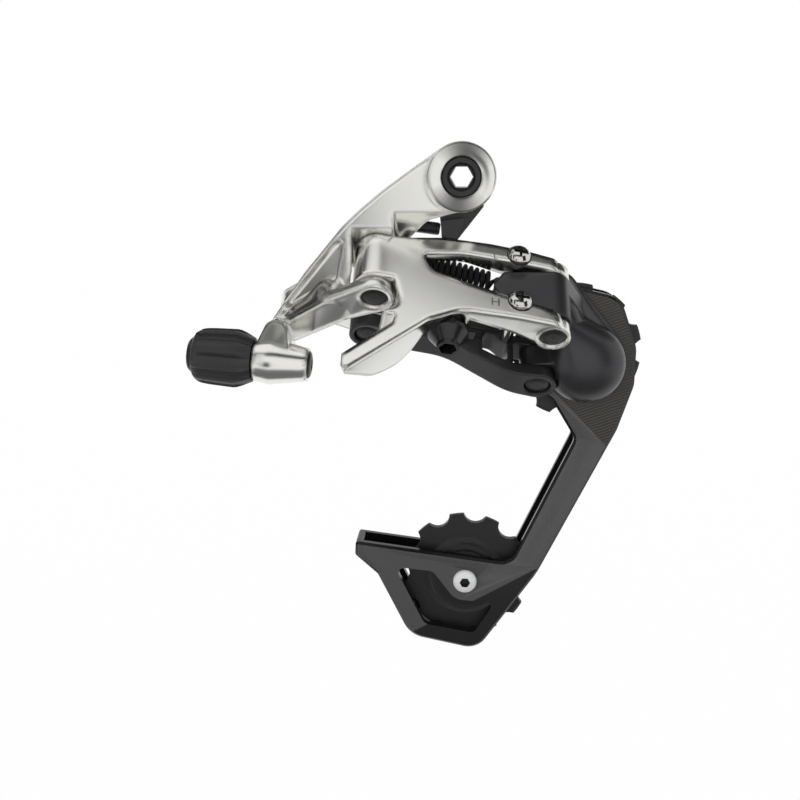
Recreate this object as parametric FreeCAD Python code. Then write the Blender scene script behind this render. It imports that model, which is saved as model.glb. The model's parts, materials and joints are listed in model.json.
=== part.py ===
import FreeCAD, Part
import math
import os

# Rear bicycle derailleur, millimetres.  +X points to the front of the bicycle, +Y points inboard
# towards the wheel and +Z points up.  The origin is on the hanger bolt's axis, at the outer face of
# the frame's hanger.

Vector = FreeCAD.Vector

# ---------------------------------------------------------------- driving dimensions
# Hanger joint
HANGER_THREAD_R = 5.0
HANGER_THICKNESS = 8.0
BOLT_HEAD_R = 5.75
BOLT_HEAD_LENGTH = 2.2
BOLT_SHOULDER_R = 5.4
BOLT_KEY_FLATS = 5.8
STOP_WASHER_THICKNESS = 2.5
STOP_TAB_DEPTH = 5.0
BOSS_R = 9.85
BOSS_LENGTH = 12.6
BOSS_LIP = 1.0
BUSH_WALL = 1.1
BUSH_FLANGE = 0.9

# Linkage: the pins lean with the slant, so the cage moves inboard and down together
SLANT = 42.0
LINK_LENGTH = 52.0
LINK_ANGLE = 12.3
B1 = (-24.1, 8.9)
PIVOT_SPREAD = (-3.3, 18.7)
PIN_R = 2.5
PIN_HEAD_R = 4.05
PIN_HEAD_LENGTH = 1.5
EAR_R = 5.5
OUTER_EYE_R = 5.0
BARREL_R = 6.4
LINK_BUSH_WALL = 0.8

# Heights of the pivots along the pins
OUTER_EAR_LOW = -45.2
OUTER_EAR_LOW_TOP = -40.6
OUTER_EAR_HIGH = -24.2
OUTER_EAR_HIGH_TOP = -20.4
KNUCKLE_EAR_LOW = -40.3
KNUCKLE_EAR_LOW_TOP = -36.7
KNUCKLE_SEAT = -20.6
REAR_PIN_TOP = -15.6
LINK_ROOM = -17.6
INNER_EAR_LOW_REAR = -38.2
INNER_EAR_LOW_FRONT = -48.3
INNER_EAR_LOW_THICKNESS = 4.0
INNER_LUG_HEIGHT = 7.6
INNER_EAR_HIGH_THICKNESS = 2.5
EAR_GAP = 0.3

# Outer link's section
LINK_FACE_T = -6.3
LINK_WALL = 3.2
INNER_LINK_HALF_WIDTH = 4.3
INNER_TOP_EAR_R = 4.0

# Screws of the links
ANCHOR_AT = (22.0, 2.5)
ANCHOR_BOSS_R = 5.2
ANCHOR_FLANGE_R = 5.8
ANCHOR_SOCKET_R = 3.2
ANCHOR_HEAD_LENGTH = 6.0
ANCHOR_THREAD_R = 2.5
LIMIT_SCREW_R = 2.0
LIMIT_HEAD_R = 3.4
LIMIT_HEAD_LENGTH = 2.0
LIMIT_SCREW_LENGTH = 17.0
LIMIT_BOSS_R = 3.1
LIMIT_FROM_PIVOT = 11.2
LIMIT_H_HEIGHT = -38.3
LIMIT_L_HEIGHT = -20.9

# Cable stop and barrel adjuster
CABLE_Y = -18.0
CABLE_TILT = 4.5
CABLE_RIDGE = (-55.0, -52.9)
STOP_R = 6.8
STOP_REAR_R = 6.1
STOP_FRONT_R = 4.9
STOP_REAR_LENGTH = 5.0
STOP_FRONT_LENGTH = 11.0
BARREL_THREAD_R = 3.0
BARREL_TRAVEL = 3.0
KNOB_R = 8.65
KNOB_LENGTH = 17.6
KNOB_RIBS = 12
HOUSING_R = 2.5
HOUSING_SEAT_DEPTH = 8.0
CABLE_HOLE_R = 0.9

# B-tension screw
TENSION_Y = -5.0
TENSION_TIP = (-6.2, -15.05)
TENSION_TILT = 7.7
TENSION_R = 2.0
TENSION_LENGTH = 20.0
TENSION_HEAD_R = 3.4
TENSION_HEAD_LENGTH = 3.0

# P-knuckle and cage pivot, the pivot's place from the zero height of the outer link's front pin
CAGE_FROM_PIN = (11.3, -13.37, -40.15)
DRUM_R = 12.9
DRUM_WALL = 2.8
DRUM_FRONT_Y = -13.5
DRUM_OPEN_Y = 5.0
AXLE_R = 6.0
AXLE_BUSH_WALL = 0.9
AXLE_COLLAR_R = 7.5
AXLE_GROOVE_DEPTH = 0.8
AXLE_GROOVE_WIDTH = 3.2
RETAINER_R = 1.5
RETAINER_Y = -7.0
COIL_R = 9.0
COIL_WIRE_R = 0.75
COIL_TURNS = 3.5
COIL_LENGTH = 7.0
CAVITY_DEPTH = 9.5
RIM_THICKNESS = 1.3
HOOD_TIP = (-7.3, 21.8)
HOOD_TIP_R = 4.8
SEAL_DEPTH = 0.6
STOP_LUG_ANGLE = 197.0
STOP_PIN_R = 2.0
STOP_PIN_REACH = 15.8

# Cage and pulleys
PLATE_THICKNESS = 2.5
OUTER_PLATE_Y = 5.5
PULLEY_GAP = 8.0
GUIDE_OFFSET = (-2.2, 1.3)
CAGE_LENGTH = 83.5
CAGE_SWING = 23.3
TEETH = 11
CHAIN_PITCH = 12.7
ROLLER_R = 3.96
TOOTH_HEIGHT = 2.8
TOOTH_THICKNESS = 2.3
HUB_THICKNESS = 5.6
HUB_R = 12.0
RACE_OUTER_R = 7.0
RACE_WALL = 1.1
BALL_R = 0.95
BALLS = 7
BEARING_WIDTH = 3.6
PULLEY_BOLT_R = 2.5
PULLEY_BOLT_HEAD_R = 3.9
PULLEY_BOLT_HEAD_LENGTH = 2.9
CAP_R = 9.5
CAP_THICKNESS = 0.8
PLATE_BEVEL = 0.8

# Return spring, from the outer link's post by its rear pivot to the P-knuckle's by the front one
SPRING_R = 3.0
SPRING_WIRE_R = 0.65
SPRING_TURNS = 8
SPRING_LOOP_R = 2.2
SPRING_POST_R = 1.2
SPRING_REAR = (10.5, -22.1)
SPRING_FRONT = (-15.7, -26.9)
SPRING_T = 1.5

# Straight steps in a turn of a spring's wire
COIL_STEPS = 12

# Clearances
RUNNING = 0.05
FREE = 0.3
OPEN_PIVOT = 0.12


# ---------------------------------------------------------------- frames
class Frame:
    """An origin with three directions; at(a, b, c) is the point a, b, c along them."""

    def __init__(self, origin, ex, ey, ez):
        self.origin = origin
        self.ex = ex
        self.ey = ey
        self.ez = ez

    def at(self, a, b, c=0.0):
        return self.origin + self.ex * a + self.ey * b + self.ez * c

    def moved(self, a, b, c=0.0):
        return Frame(self.at(a, b, c), self.ex, self.ey, self.ez)


X = Vector(1, 0, 0)
Y = Vector(0, 1, 0)
Z = Vector(0, 0, 1)
slant = math.radians(SLANT)
swing = math.radians(LINK_ANGLE)
INBOARD = Vector(0, math.sin(slant), -math.cos(slant))
ALONG_PINS = Vector(0, math.cos(slant), math.sin(slant))
ALONG_LINK = X * math.cos(swing) + INBOARD * math.sin(swing)
ACROSS_LINK = INBOARD * math.cos(swing) - X * math.sin(swing)

# (x, z, y), seen from the outboard side
SIDE = Frame(Vector(0, 0, 0), X, Z, Y)
# (x, inboard, along the pins)
PINS = Frame(Vector(0, 0, 0), X, INBOARD, ALONG_PINS)
# (along the link, across it, along the pins) from the outer link's rear pivot
OUTER = Frame(PINS.at(*B1), ALONG_LINK, ACROSS_LINK, ALONG_PINS)
# the same from the inner link's rear pivot
B2 = (B1[0] + PIVOT_SPREAD[0], B1[1] + PIVOT_SPREAD[1])
INNER = Frame(PINS.at(*B2), ALONG_LINK, ACROSS_LINK, ALONG_PINS)
# (along the link, along the pins, across the link)
OUTER_FACE = Frame(OUTER.origin, ALONG_LINK, ALONG_PINS, ACROSS_LINK)
INNER_FACE = Frame(INNER.origin, ALONG_LINK, ALONG_PINS, ACROSS_LINK)
P1 = (
    B1[0] + LINK_LENGTH * math.cos(swing),
    B1[1] + LINK_LENGTH * math.sin(swing),
)
P2 = (P1[0] + PIVOT_SPREAD[0], P1[1] + PIVOT_SPREAD[1])

tilt = math.radians(CABLE_TILT)
CABLE = Frame(
    SIDE.at(*CABLE_RIDGE, CABLE_Y),
    Y,
    X * math.sin(tilt) + Z * math.cos(tilt),
    X * math.cos(tilt) - Z * math.sin(tilt),
)
lean = math.radians(TENSION_TILT)
TENSION = Frame(
    SIDE.at(*TENSION_TIP, TENSION_Y),
    Y,
    X * math.sin(lean) + Z * math.cos(lean),
    X * math.cos(lean) - Z * math.sin(lean),
)
# (x, z, y) from the cage's pivot, which the linkage carries
CAGE_PIVOT = Frame(PINS.at(*P1) + Vector(*CAGE_FROM_PIN), X, Z, Y)
TENSION_AT = (
    GUIDE_OFFSET[0] - CAGE_LENGTH * math.sin(math.radians(CAGE_SWING)),
    GUIDE_OFFSET[1] - CAGE_LENGTH * math.cos(math.radians(CAGE_SWING)),
)
GUIDE = CAGE_PIVOT.moved(*GUIDE_OFFSET)
TENSION_PULLEY = CAGE_PIVOT.moved(*TENSION_AT)


# ---------------------------------------------------------------- shape helpers
def corner_arc(before, here, after, radius):
    """Start, middle and end of the arc that rounds one corner of an outline."""
    back = (before - here).normalize()
    ahead = (after - here).normalize()
    half = back.getAngle(ahead) / 2
    trim = radius / math.tan(half)
    middle = (back + ahead).normalize()
    centre = here + middle * (radius / math.sin(half))
    return here + back * trim, centre - middle * radius, here + ahead * trim


def outline(frame, corners, c=0.0):
    """A closed wire through (a, b) corners; a third number rounds that corner."""
    points = [frame.at(corner[0], corner[1], c) for corner in corners]
    arcs = []
    for i, corner in enumerate(corners):
        if len(corner) > 2:
            arcs.append(corner_arc(points[i - 1], points[i], points[(i + 1) % len(points)], corner[2]))
        else:
            arcs.append((points[i],))
    edges = []
    for i, arc in enumerate(arcs):
        start = arcs[i - 1][-1]
        if start.distanceToPoint(arc[0]) > 1e-6:
            edges.append(Part.LineSegment(start, arc[0]).toShape())
        if len(arc) == 3:
            edges.append(Part.Arc(*arc).toShape())
    return Part.Wire(edges)


def slab(frame, corners, c0, c1):
    """An outline with thickness, from c0 to c1 along the frame's third direction."""
    return Part.Face(outline(frame, corners, c0)).extrude(frame.ez * (c1 - c0))


def rod(frame, a, b, radius, c0, c1):
    return Part.makeCylinder(radius, c1 - c0, frame.at(a, b, c0), frame.ez)


def cone(frame, a, b, r0, r1, c0, c1):
    return Part.makeCone(r0, r1, c1 - c0, frame.at(a, b, c0), frame.ez)


def ring(frame, a, b, outer, inner, c0, c1):
    return rod(frame, a, b, outer, c0, c1).cut(rod(frame, a, b, inner, c0, c1))


def turned(frame, profile):
    """A solid of revolution about the frame's third direction from (radius, height) points."""
    points = [frame.at(radius, 0, c) for radius, c in profile]
    face = Part.Face(Part.makePolygon(points + points[:1]))
    return face.revolve(frame.origin, frame.ez, 360)


def belt(frame, p, rp, q, rq, c):
    """The closed wire of a belt stretched round two circles."""
    heading = math.atan2(q[1] - p[1], q[0] - p[0])
    spread = math.acos((rp - rq) / math.hypot(q[0] - p[0], q[1] - p[1]))

    def on(centre, radius, angle):
        return frame.at(centre[0] + radius * math.cos(angle), centre[1] + radius * math.sin(angle), c)

    p_left, p_back, p_right = (on(p, rp, heading + turn) for turn in (spread, math.pi, -spread))
    q_right, q_front, q_left = (on(q, rq, heading + turn) for turn in (-spread, 0, spread))
    return Part.Wire([
        Part.Arc(p_left, p_back, p_right).toShape(),
        Part.LineSegment(p_right, q_right).toShape(),
        Part.Arc(q_right, q_front, q_left).toShape(),
        Part.LineSegment(q_left, p_left).toShape(),
    ])


def arm(frame, p, rp, q, rq, c0, c1):
    """A bar with round ends, from c0 to c1 along the frame's third direction."""
    return Part.Face(belt(frame, p, rp, q, rq, c0)).extrude(frame.ez * (c1 - c0))


def lobe(frame, sections):
    """A smooth solid through belts given as (first centre, radius, second centre, radius, height)."""
    return Part.makeLoft([belt(frame, *section) for section in sections], True)


def hexagon(frame, flats, c0, c1):
    radius = flats / math.sqrt(3)
    corners = [(radius * math.cos(k * math.pi / 3), radius * math.sin(k * math.pi / 3)) for k in range(6)]
    return slab(frame, corners, c0, c1)


def joined(first, *others):
    return first.multiFuse(list(others)).removeSplitter()


def less(shape, *tools):
    for tool in tools:
        shape = shape.cut(tool)
    return shape.removeSplitter()


def helix(frame, radius, pitch, turns, c0):
    """Points of a winding about the frame's third direction."""
    points = []
    for k in range(round(turns * COIL_STEPS) + 1):
        angle = 2 * math.pi * k / COIL_STEPS
        height = c0 + pitch * k / COIL_STEPS
        points.append(frame.at(radius * math.cos(angle), radius * math.sin(angle), height))
    return points


def wire_through(points, wire_r):
    """A spring's wire in short straight runs, six-sided in section."""
    heading = (points[1] - points[0]).normalize()
    side = heading.cross(points[2] - points[1]).normalize()
    start = Frame(points[0], side, heading.cross(side), heading)
    section = [(wire_r * math.cos(k * math.pi / 3), wire_r * math.sin(k * math.pi / 3)) for k in range(6)]
    return Part.makePolygon(points).makePipeShell([outline(start, section)], True, False, 1)


def save(name, shape):
    shape.exportStep(os.path.join("parts", name + ".step"))


# ---------------------------------------------------------------- hanger mount
BOSS_INNER_Y = -(STOP_WASHER_THICKNESS + FREE)
BOSS_OUTER_Y = BOSS_INNER_Y - BOSS_LENGTH
HEAD_SEAT_Y = BOSS_OUTER_Y + BOSS_LIP + BOLT_HEAD_LENGTH
BUSH_R = BOLT_SHOULDER_R + RUNNING + BUSH_WALL


def hanger_bolt():
    head_face = HEAD_SEAT_Y - BOLT_HEAD_LENGTH
    socket_rim = BOLT_KEY_FLATS / math.sqrt(3) + 0.7
    body = turned(SIDE, [
        (0, head_face),
        (BOLT_HEAD_R - 0.4, head_face),
        (BOLT_HEAD_R, head_face + 0.4),
        (BOLT_HEAD_R, HEAD_SEAT_Y),
        (BOLT_SHOULDER_R, HEAD_SEAT_Y),
        (BOLT_SHOULDER_R, 0),
        (HANGER_THREAD_R, 0),
        (HANGER_THREAD_R, HANGER_THICKNESS - 0.6),
        (HANGER_THREAD_R - 0.6, HANGER_THICKNESS),
        (0, HANGER_THICKNESS),
    ])
    countersink = cone(SIDE, 0, 0, socket_rim, socket_rim - 0.7, head_face, head_face + 0.7)
    return less(body, hexagon(SIDE, BOLT_KEY_FLATS, head_face, HANGER_THICKNESS), countersink)


def stop_washer():
    """A flat washer with a thick tab below it, which the tension screw bears on."""
    plate = rod(SIDE, 0, 0, BOSS_R - 0.3, -STOP_WASHER_THICKNESS, 0)
    leaf = slab(SIDE, [(-6.9, -6.0), (6.5, -6.0), (6.6, -8.6), (-1.2, -18.6, 0.8), (-5.6, -17.8, 0.8)],
                -STOP_WASHER_THICKNESS, 0)
    tab = slab(SIDE, [(-5.9, -12.6, 0.6), (1.4, -11.6, 0.6), (-1.2, -18.6, 0.8), (-5.6, -17.8, 0.8)],
               -STOP_WASHER_THICKNESS - STOP_TAB_DEPTH, 0)
    bore = rod(SIDE, 0, 0, BOLT_SHOULDER_R + RUNNING, -STOP_WASHER_THICKNESS, 0)
    return less(joined(plate, leaf, tab), bore)


# ---------------------------------------------------------------- B-knuckle
PIN_BORE_R = PIN_R + RUNNING
# The inner link's fork drops towards the front, as the outer one does
LUG_LOW_REAR = INNER_EAR_LOW_REAR + INNER_EAR_LOW_THICKNESS + EAR_GAP
LUG_LOW_FRONT = INNER_EAR_LOW_FRONT + INNER_EAR_LOW_THICKNESS + EAR_GAP
INNER_TOP_REAR = LUG_LOW_REAR + INNER_LUG_HEIGHT + EAR_GAP + INNER_EAR_HIGH_THICKNESS
INNER_TOP_FRONT = LUG_LOW_FRONT + INNER_LUG_HEIGHT + EAR_GAP + INNER_EAR_HIGH_THICKNESS
LINK_BUSH_R = PIN_R + RUNNING + LINK_BUSH_WALL


def knuckle_body():
    """The forged plate from the hanger boss back to the cable stop."""
    plate = slab(SIDE, [
        (-5.8, 8.0), (-14.2, 2.2), (-22.3, -3.6, 30), (-29.5, -9.5, 40), (-33.9, -13.8, 30),
        (-39.5, -20.4, 40), (-45.2, -27.2, 40), (-51.7, -36.2, 40), (-59.4, -47.2, 2.0), (-57.0, -50.0, 2.0),
        (-50.5, -44.0), (-44.0, -36.5, 6), (-32.3, -34.0, 1.0), (-31.6, -27.0),
        (-19.0, -27.0, 2.0), (-15.8, -18.5, 2.0), (-9.8, -12.3, 6), (-4.0, -10.6), (5.4, -8.2), (0, 0),
    ], -15.0, -3.5)
    below_seat = slab(PINS, [(-31.4, -30), (20, -30), (20, 40), (-31.4, 40)], -70, KNUCKLE_SEAT)
    link_room = slab(PINS, [(-19.2, -30), (20, -30), (20, 40), (-19.2, 40)], -70, LINK_ROOM)
    facet = slab(Frame(SIDE.at(-8.8, 6.6, -15.0), Vector(-12.6, 0, -19.5).normalize(),
                       Vector(0, 1, 0) * 0.28 + Vector(0.84, 0, -0.54) * 0.96, Vector(0.84, 0, -0.54)),
                 [(-8, 0), (40, 0), (40, -12), (-8, -12)], 0, 26)
    return less(plate, below_seat, link_room, facet)


def rear_web():
    """The slanted root that joins the knuckle's plate to the arms of both rear pivots."""
    root = arm(PINS, (-38.2, 15.6), 4.9, (-49.5, 23.2), 4.2, -39.2, -27.0)
    lower_arm = joined(
        arm(PINS, B1, EAR_R, (-37.0, 14.6), 4.6, KNUCKLE_EAR_LOW, KNUCKLE_EAR_LOW_TOP),
        arm(PINS, (-37.0, 14.6), 4.6, (-50.0, 23.6), 3.9, KNUCKLE_EAR_LOW - 0.6, KNUCKLE_EAR_LOW_TOP),
    )
    lug = arm(PINS, B2, EAR_R - 0.3, (-44.0, 20.0), 4.0, LUG_LOW_REAR, LUG_LOW_REAR + INNER_LUG_HEIGHT)
    return joined(root, lower_arm, lug)


def cable_stop_body():
    body = turned(CABLE, [
        (0, -STOP_REAR_LENGTH), (STOP_REAR_R, -STOP_REAR_LENGTH), (STOP_R, 0),
        (STOP_FRONT_R, STOP_FRONT_LENGTH), (0, STOP_FRONT_LENGTH),
    ])
    neck = arm(SIDE, (-53.0, -43.6), 3.4, (-54.8, -51.6), 5.6, -21.5, -9.0)
    return joined(body, neck)


def b_knuckle():
    boss = rod(SIDE, 0, 0, BOSS_R, BOSS_OUTER_Y, BOSS_INNER_Y)
    screw_boss = rod(TENSION, 0, 0, TENSION_R + 1.4, -TENSION_LENGTH, -10.0)
    solid = joined(boss, knuckle_body(), rear_web(), cable_stop_body(), screw_boss)
    pocket = slab(SIDE, [(-33.7, -16.6, 1.0), (-37.4, -19.6), (-54.4, -40.0, 1.0), (-36.2, -29.8, 1.5)],
                  -16.0, -9.5)
    head_recess = rod(SIDE, 0, 0, BOLT_HEAD_R + FREE, BOSS_OUTER_Y, HEAD_SEAT_Y)
    bush_bore = rod(SIDE, 0, 0, BUSH_R, HEAD_SEAT_Y, BOSS_INNER_Y)
    flange_recess = rod(SIDE, 0, 0, BUSH_R + BUSH_WALL, BOSS_INNER_Y - BUSH_FLANGE, BOSS_INNER_Y)
    pins = [
        rod(PINS, *B1, PIN_R, KNUCKLE_EAR_LOW, REAR_PIN_TOP),
        rod(PINS, *B1, PIN_HEAD_R, KNUCKLE_EAR_LOW - 1.0, KNUCKLE_EAR_LOW + PIN_HEAD_LENGTH),
        rod(PINS, *B2, PIN_BORE_R, INNER_EAR_LOW_REAR, INNER_TOP_REAR + 3.0),
        rod(PINS, *B1, BARREL_R + 0.6, KNUCKLE_EAR_LOW_TOP, KNUCKLE_SEAT),
    ]
    thread = rod(CABLE, 0, 0, BARREL_THREAD_R + RUNNING, -STOP_REAR_LENGTH, 4.0)
    liner = rod(CABLE, 0, 0, CABLE_HOLE_R + 0.6, 4.0, STOP_FRONT_LENGTH)
    cap_seat = rod(CABLE, 0, 0, STOP_FRONT_R - 0.9, STOP_FRONT_LENGTH - 1.0, STOP_FRONT_LENGTH)
    screw = rod(TENSION, 0, 0, TENSION_R + RUNNING, -TENSION_LENGTH - 12, 6)
    screw_head = rod(TENSION, 0, 0, TENSION_HEAD_R + FREE, -TENSION_LENGTH - 12, -TENSION_LENGTH)
    knob_room = rod(CABLE, 0, 0, KNOB_R + 2, -STOP_REAR_LENGTH - 12, -STOP_REAR_LENGTH)
    return less(solid, pocket, head_recess, bush_bore, flange_recess, thread, liner, cap_seat, screw,
                screw_head, knob_room, *pins)


def hanger_bushes():
    """Two flanged sleeves pressed into the boss from its inner face."""
    bore_r = BOLT_SHOULDER_R + RUNNING
    outer_end = HEAD_SEAT_Y + 0.1
    length = (BOSS_INNER_Y - outer_end) * 0.45
    flanged = joined(
        rod(SIDE, 0, 0, BUSH_R, BOSS_INNER_Y - length, BOSS_INNER_Y),
        rod(SIDE, 0, 0, BUSH_R + BUSH_WALL, BOSS_INNER_Y - BUSH_FLANGE, BOSS_INNER_Y),
    )
    plain = rod(SIDE, 0, 0, BUSH_R, outer_end, outer_end + length)
    bore = rod(SIDE, 0, 0, bore_r, outer_end - 1, BOSS_INNER_Y + 1)
    return Part.makeCompound([flanged.cut(bore), plain.cut(bore)])


def tension_screw():
    """The screw whose tip bears on the stop washer's tab, with a hex head behind the knuckle."""
    end = -TENSION_LENGTH - TENSION_HEAD_LENGTH
    body = turned(TENSION, [
        (0, end), (TENSION_HEAD_R - 0.4, end), (TENSION_HEAD_R, end + 0.4), (TENSION_HEAD_R, -TENSION_LENGTH),
        (TENSION_R, -TENSION_LENGTH), (TENSION_R, -0.6), (TENSION_R - 0.6, 0), (0, 0),
    ])
    return less(body, hexagon(TENSION, 3.0, end - 1, -TENSION_LENGTH))


def cable_end_cap():
    """The plastic mouth at the front of the cable stop, with its short liner."""
    return turned(CABLE, [
        (CABLE_HOLE_R, 4.0), (CABLE_HOLE_R + 0.6, 4.0), (CABLE_HOLE_R + 0.6, STOP_FRONT_LENGTH - 1.0),
        (STOP_FRONT_R - 0.9, STOP_FRONT_LENGTH - 1.0), (STOP_FRONT_R - 0.9, STOP_FRONT_LENGTH + 0.3),
        (STOP_FRONT_R - 1.4, STOP_FRONT_LENGTH + 0.8), (1.9, STOP_FRONT_LENGTH + 0.8),
        (1.6, STOP_FRONT_LENGTH + 2.0), (CABLE_HOLE_R, STOP_FRONT_LENGTH + 2.0),
    ])


# ---------------------------------------------------------------- barrel adjuster
KNOB_FRONT = -STOP_REAR_LENGTH - FREE
KNOB_REAR = KNOB_FRONT - KNOB_LENGTH
BARREL_CORE_R = KNOB_R * 0.51
SEAT_STEM_R = HOUSING_R + 0.7
SEAT_FRONT = KNOB_REAR + HOUSING_SEAT_DEPTH + 1.5
SEAT_REAR = KNOB_REAR - 1.4


def housing_seat():
    """The slotted ferrule that the cable housing pushes into."""
    body = turned(CABLE, [
        (HOUSING_R, SEAT_REAR), (4.4, SEAT_REAR), (5.0, SEAT_REAR + 0.6), (5.0, KNOB_REAR - FREE),
        (SEAT_STEM_R, KNOB_REAR - FREE), (SEAT_STEM_R, SEAT_FRONT), (CABLE_HOLE_R, SEAT_FRONT),
        (CABLE_HOLE_R, SEAT_REAR + HOUSING_SEAT_DEPTH), (HOUSING_R, SEAT_REAR + HOUSING_SEAT_DEPTH),
    ])
    slot = slab(CABLE, [(0, -0.6), (6, -0.6), (6, 0.6), (0, 0.6)], SEAT_REAR - 1, SEAT_REAR + 1.6)
    return less(body, slot)


def adjuster_barrel():
    bore = SEAT_STEM_R + RUNNING
    return turned(CABLE, [
        (bore, KNOB_REAR), (BARREL_CORE_R, KNOB_REAR), (BARREL_CORE_R, KNOB_FRONT - 0.7),
        (BARREL_THREAD_R, KNOB_FRONT - 0.7), (BARREL_THREAD_R, 0.6), (BARREL_THREAD_R - 0.6, 1.2),
        (CABLE_HOLE_R, 1.2), (CABLE_HOLE_R, SEAT_FRONT + 0.2), (bore, SEAT_FRONT + 0.2),
    ])


def adjuster_sleeve():
    """The ribbed rubber grip, widest a third of the way back."""
    body = turned(CABLE, [
        (BARREL_CORE_R, KNOB_REAR), (KNOB_R * 0.62, KNOB_REAR), (KNOB_R * 0.86, KNOB_REAR + 2.4),
        (KNOB_R, KNOB_FRONT - 4.8), (KNOB_R * 0.76, KNOB_FRONT), (BARREL_THREAD_R + FREE, KNOB_FRONT),
        (BARREL_THREAD_R + FREE, KNOB_FRONT - 0.7), (BARREL_CORE_R, KNOB_FRONT - 0.7),
    ])
    grooves = []
    for k in range(KNOB_RIBS):
        angle = 2 * math.pi * (k + 0.5) / KNOB_RIBS
        reach = KNOB_R + 0.5
        grooves.append(rod(CABLE, reach * math.cos(angle), reach * math.sin(angle), 1.2,
                           KNOB_REAR + 3.0, KNOB_FRONT - 2.2))
    return less(body, *grooves)


# ---------------------------------------------------------------- links
def link_pin(x_m, head_z, top_z):
    """A plain pin with a low domed head, sunk in the lower ear."""
    shank = rod(PINS, *x_m, PIN_R, head_z + PIN_HEAD_LENGTH - 0.2, top_z)
    head = turned(PINS.moved(*x_m, head_z), [
        (0, 0.3), (PIN_HEAD_R * 0.5, 0.38), (PIN_HEAD_R * 0.8, 0.62), (PIN_HEAD_R - 0.2, 0.95),
        (PIN_HEAD_R, 1.2), (PIN_HEAD_R, PIN_HEAD_LENGTH), (0, PIN_HEAD_LENGTH),
    ])
    return joined(shank, head)


def outer_link_wall():
    """The open-ended fork of the outer link, seen square to its outer face."""
    nose = LINK_LENGTH + 3.0
    fork = slab(OUTER_FACE, [
        (1.0, -20.9), (8.0, -20.6), (18.0, -18.5, 20), (LINK_LENGTH - 20.0, -18.0, 30),
        (LINK_LENGTH - 8.0, -18.7, 20), (nose, OUTER_EAR_HIGH_TOP), (nose, OUTER_EAR_HIGH),
        (LINK_LENGTH - 12.0, -23.4, 20), (24.0, -23.2, 20), (12.2, -25.6, 1.2), (14.8, -31.4, 5),
        (24.0, -34.0, 20), (LINK_LENGTH - 14.0, -37.2, 20), (nose, OUTER_EAR_LOW_TOP),
        (nose, OUTER_EAR_LOW), (LINK_LENGTH - 11.0, -44.4, 20), (24.0, -44.6, 12), (15.0, -49.6),
        (2.0, -49.6), (6.9, -45.0, 4), (4.6, -36.4), (1.0, -36.4),
    ], LINK_FACE_T, 9.0)
    inside = LINK_FACE_T + LINK_WALL
    depth = slab(OUTER, [
        (1.0, LINK_FACE_T), (LINK_LENGTH, LINK_FACE_T, 3), (LINK_LENGTH + EAR_R, 0), (LINK_LENGTH, 5.0),
        (LINK_LENGTH - 5.5, 3.0, 4), (LINK_LENGTH - 12.0, 0.6, 15), (LINK_LENGTH / 2, inside + 0.6, 15),
        (8.0, inside, 2), (4.0, 4.5), (1.0, 4.5),
    ], -50, -17)
    return fork.common(depth)


def cable_fin():
    """The curved blade under the rear pivot that the shift cable lies against."""
    side = slab(OUTER_FACE, [
        (16.0, -48.6), (-6.6, -70.6), (-7.9, -69.2), (-7.9, -65.8), (4.9, -52.6, 2.5), (6.9, -44.0),
        (16.0, -44.0),
    ], LINK_FACE_T, 9.0)
    plan = slab(OUTER, [
        (-8.4, LINK_FACE_T), (16.0, LINK_FACE_T), (16.0, LINK_FACE_T + LINK_WALL, 2), (12.0, 5.5, 4),
        (8.4, 8.6, 4), (2.0, 6.6, 8), (-5.0, -2.0, 10),
    ], -72, -43)
    return side.common(plan)


def outer_link():
    barrel = rod(OUTER, 0, 0, BARREL_R, KNUCKLE_EAR_LOW_TOP + EAR_GAP, KNUCKLE_SEAT - EAR_GAP)
    low_ear = rod(OUTER, LINK_LENGTH, 0, OUTER_EYE_R, OUTER_EAR_LOW, OUTER_EAR_LOW_TOP)
    high_ear = rod(OUTER, LINK_LENGTH, 0, EAR_R, OUTER_EAR_HIGH, OUTER_EAR_HIGH_TOP)
    anchor_boss = arm(OUTER, ANCHOR_AT, ANCHOR_BOSS_R, (ANCHOR_AT[0] + 2, -3.4), 2.8, -45.0, -38.0)
    bosses = [
        rod(OUTER_FACE, LINK_LENGTH - LIMIT_FROM_PIVOT, height, LIMIT_BOSS_R, LINK_FACE_T, 0.4)
        for height in (LIMIT_H_HEIGHT, LIMIT_L_HEIGHT)
    ]
    post = rod(OUTER_FACE, *SPRING_REAR, SPRING_POST_R, LINK_FACE_T + 1.5, SPRING_T + 1.6)
    solid = joined(barrel, outer_link_wall(), cable_fin(), low_ear, high_ear, anchor_boss, post, *bosses)
    cuts = [
        rod(OUTER, 0, 0, LINK_BUSH_R, -40, -17),
        rod(OUTER, LINK_LENGTH, 0, PIN_R, -50, -17),
        rod(OUTER, LINK_LENGTH, 0, PIN_HEAD_R, OUTER_EAR_LOW - 1, OUTER_EAR_LOW + PIN_HEAD_LENGTH),
        rod(OUTER, *ANCHOR_AT, ANCHOR_THREAD_R, -46, -36),
        rod(OUTER, *ANCHOR_AT, ANCHOR_FLANGE_R + FREE, -60, -45.0),
        rod(OUTER, 0, 0, EAR_R + FREE, KNUCKLE_EAR_LOW - EAR_GAP, KNUCKLE_EAR_LOW_TOP + EAR_GAP),
        rod(OUTER, LINK_LENGTH, 0, EAR_R + 1.0, OUTER_EAR_LOW_TOP, OUTER_EAR_HIGH),
    ]
    for height in (LIMIT_H_HEIGHT, LIMIT_L_HEIGHT):
        cuts.append(rod(OUTER_FACE, LINK_LENGTH - LIMIT_FROM_PIVOT, height, LIMIT_SCREW_R + RUNNING,
                        LINK_FACE_T - 3, 12))
    return less(solid, *cuts)


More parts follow.
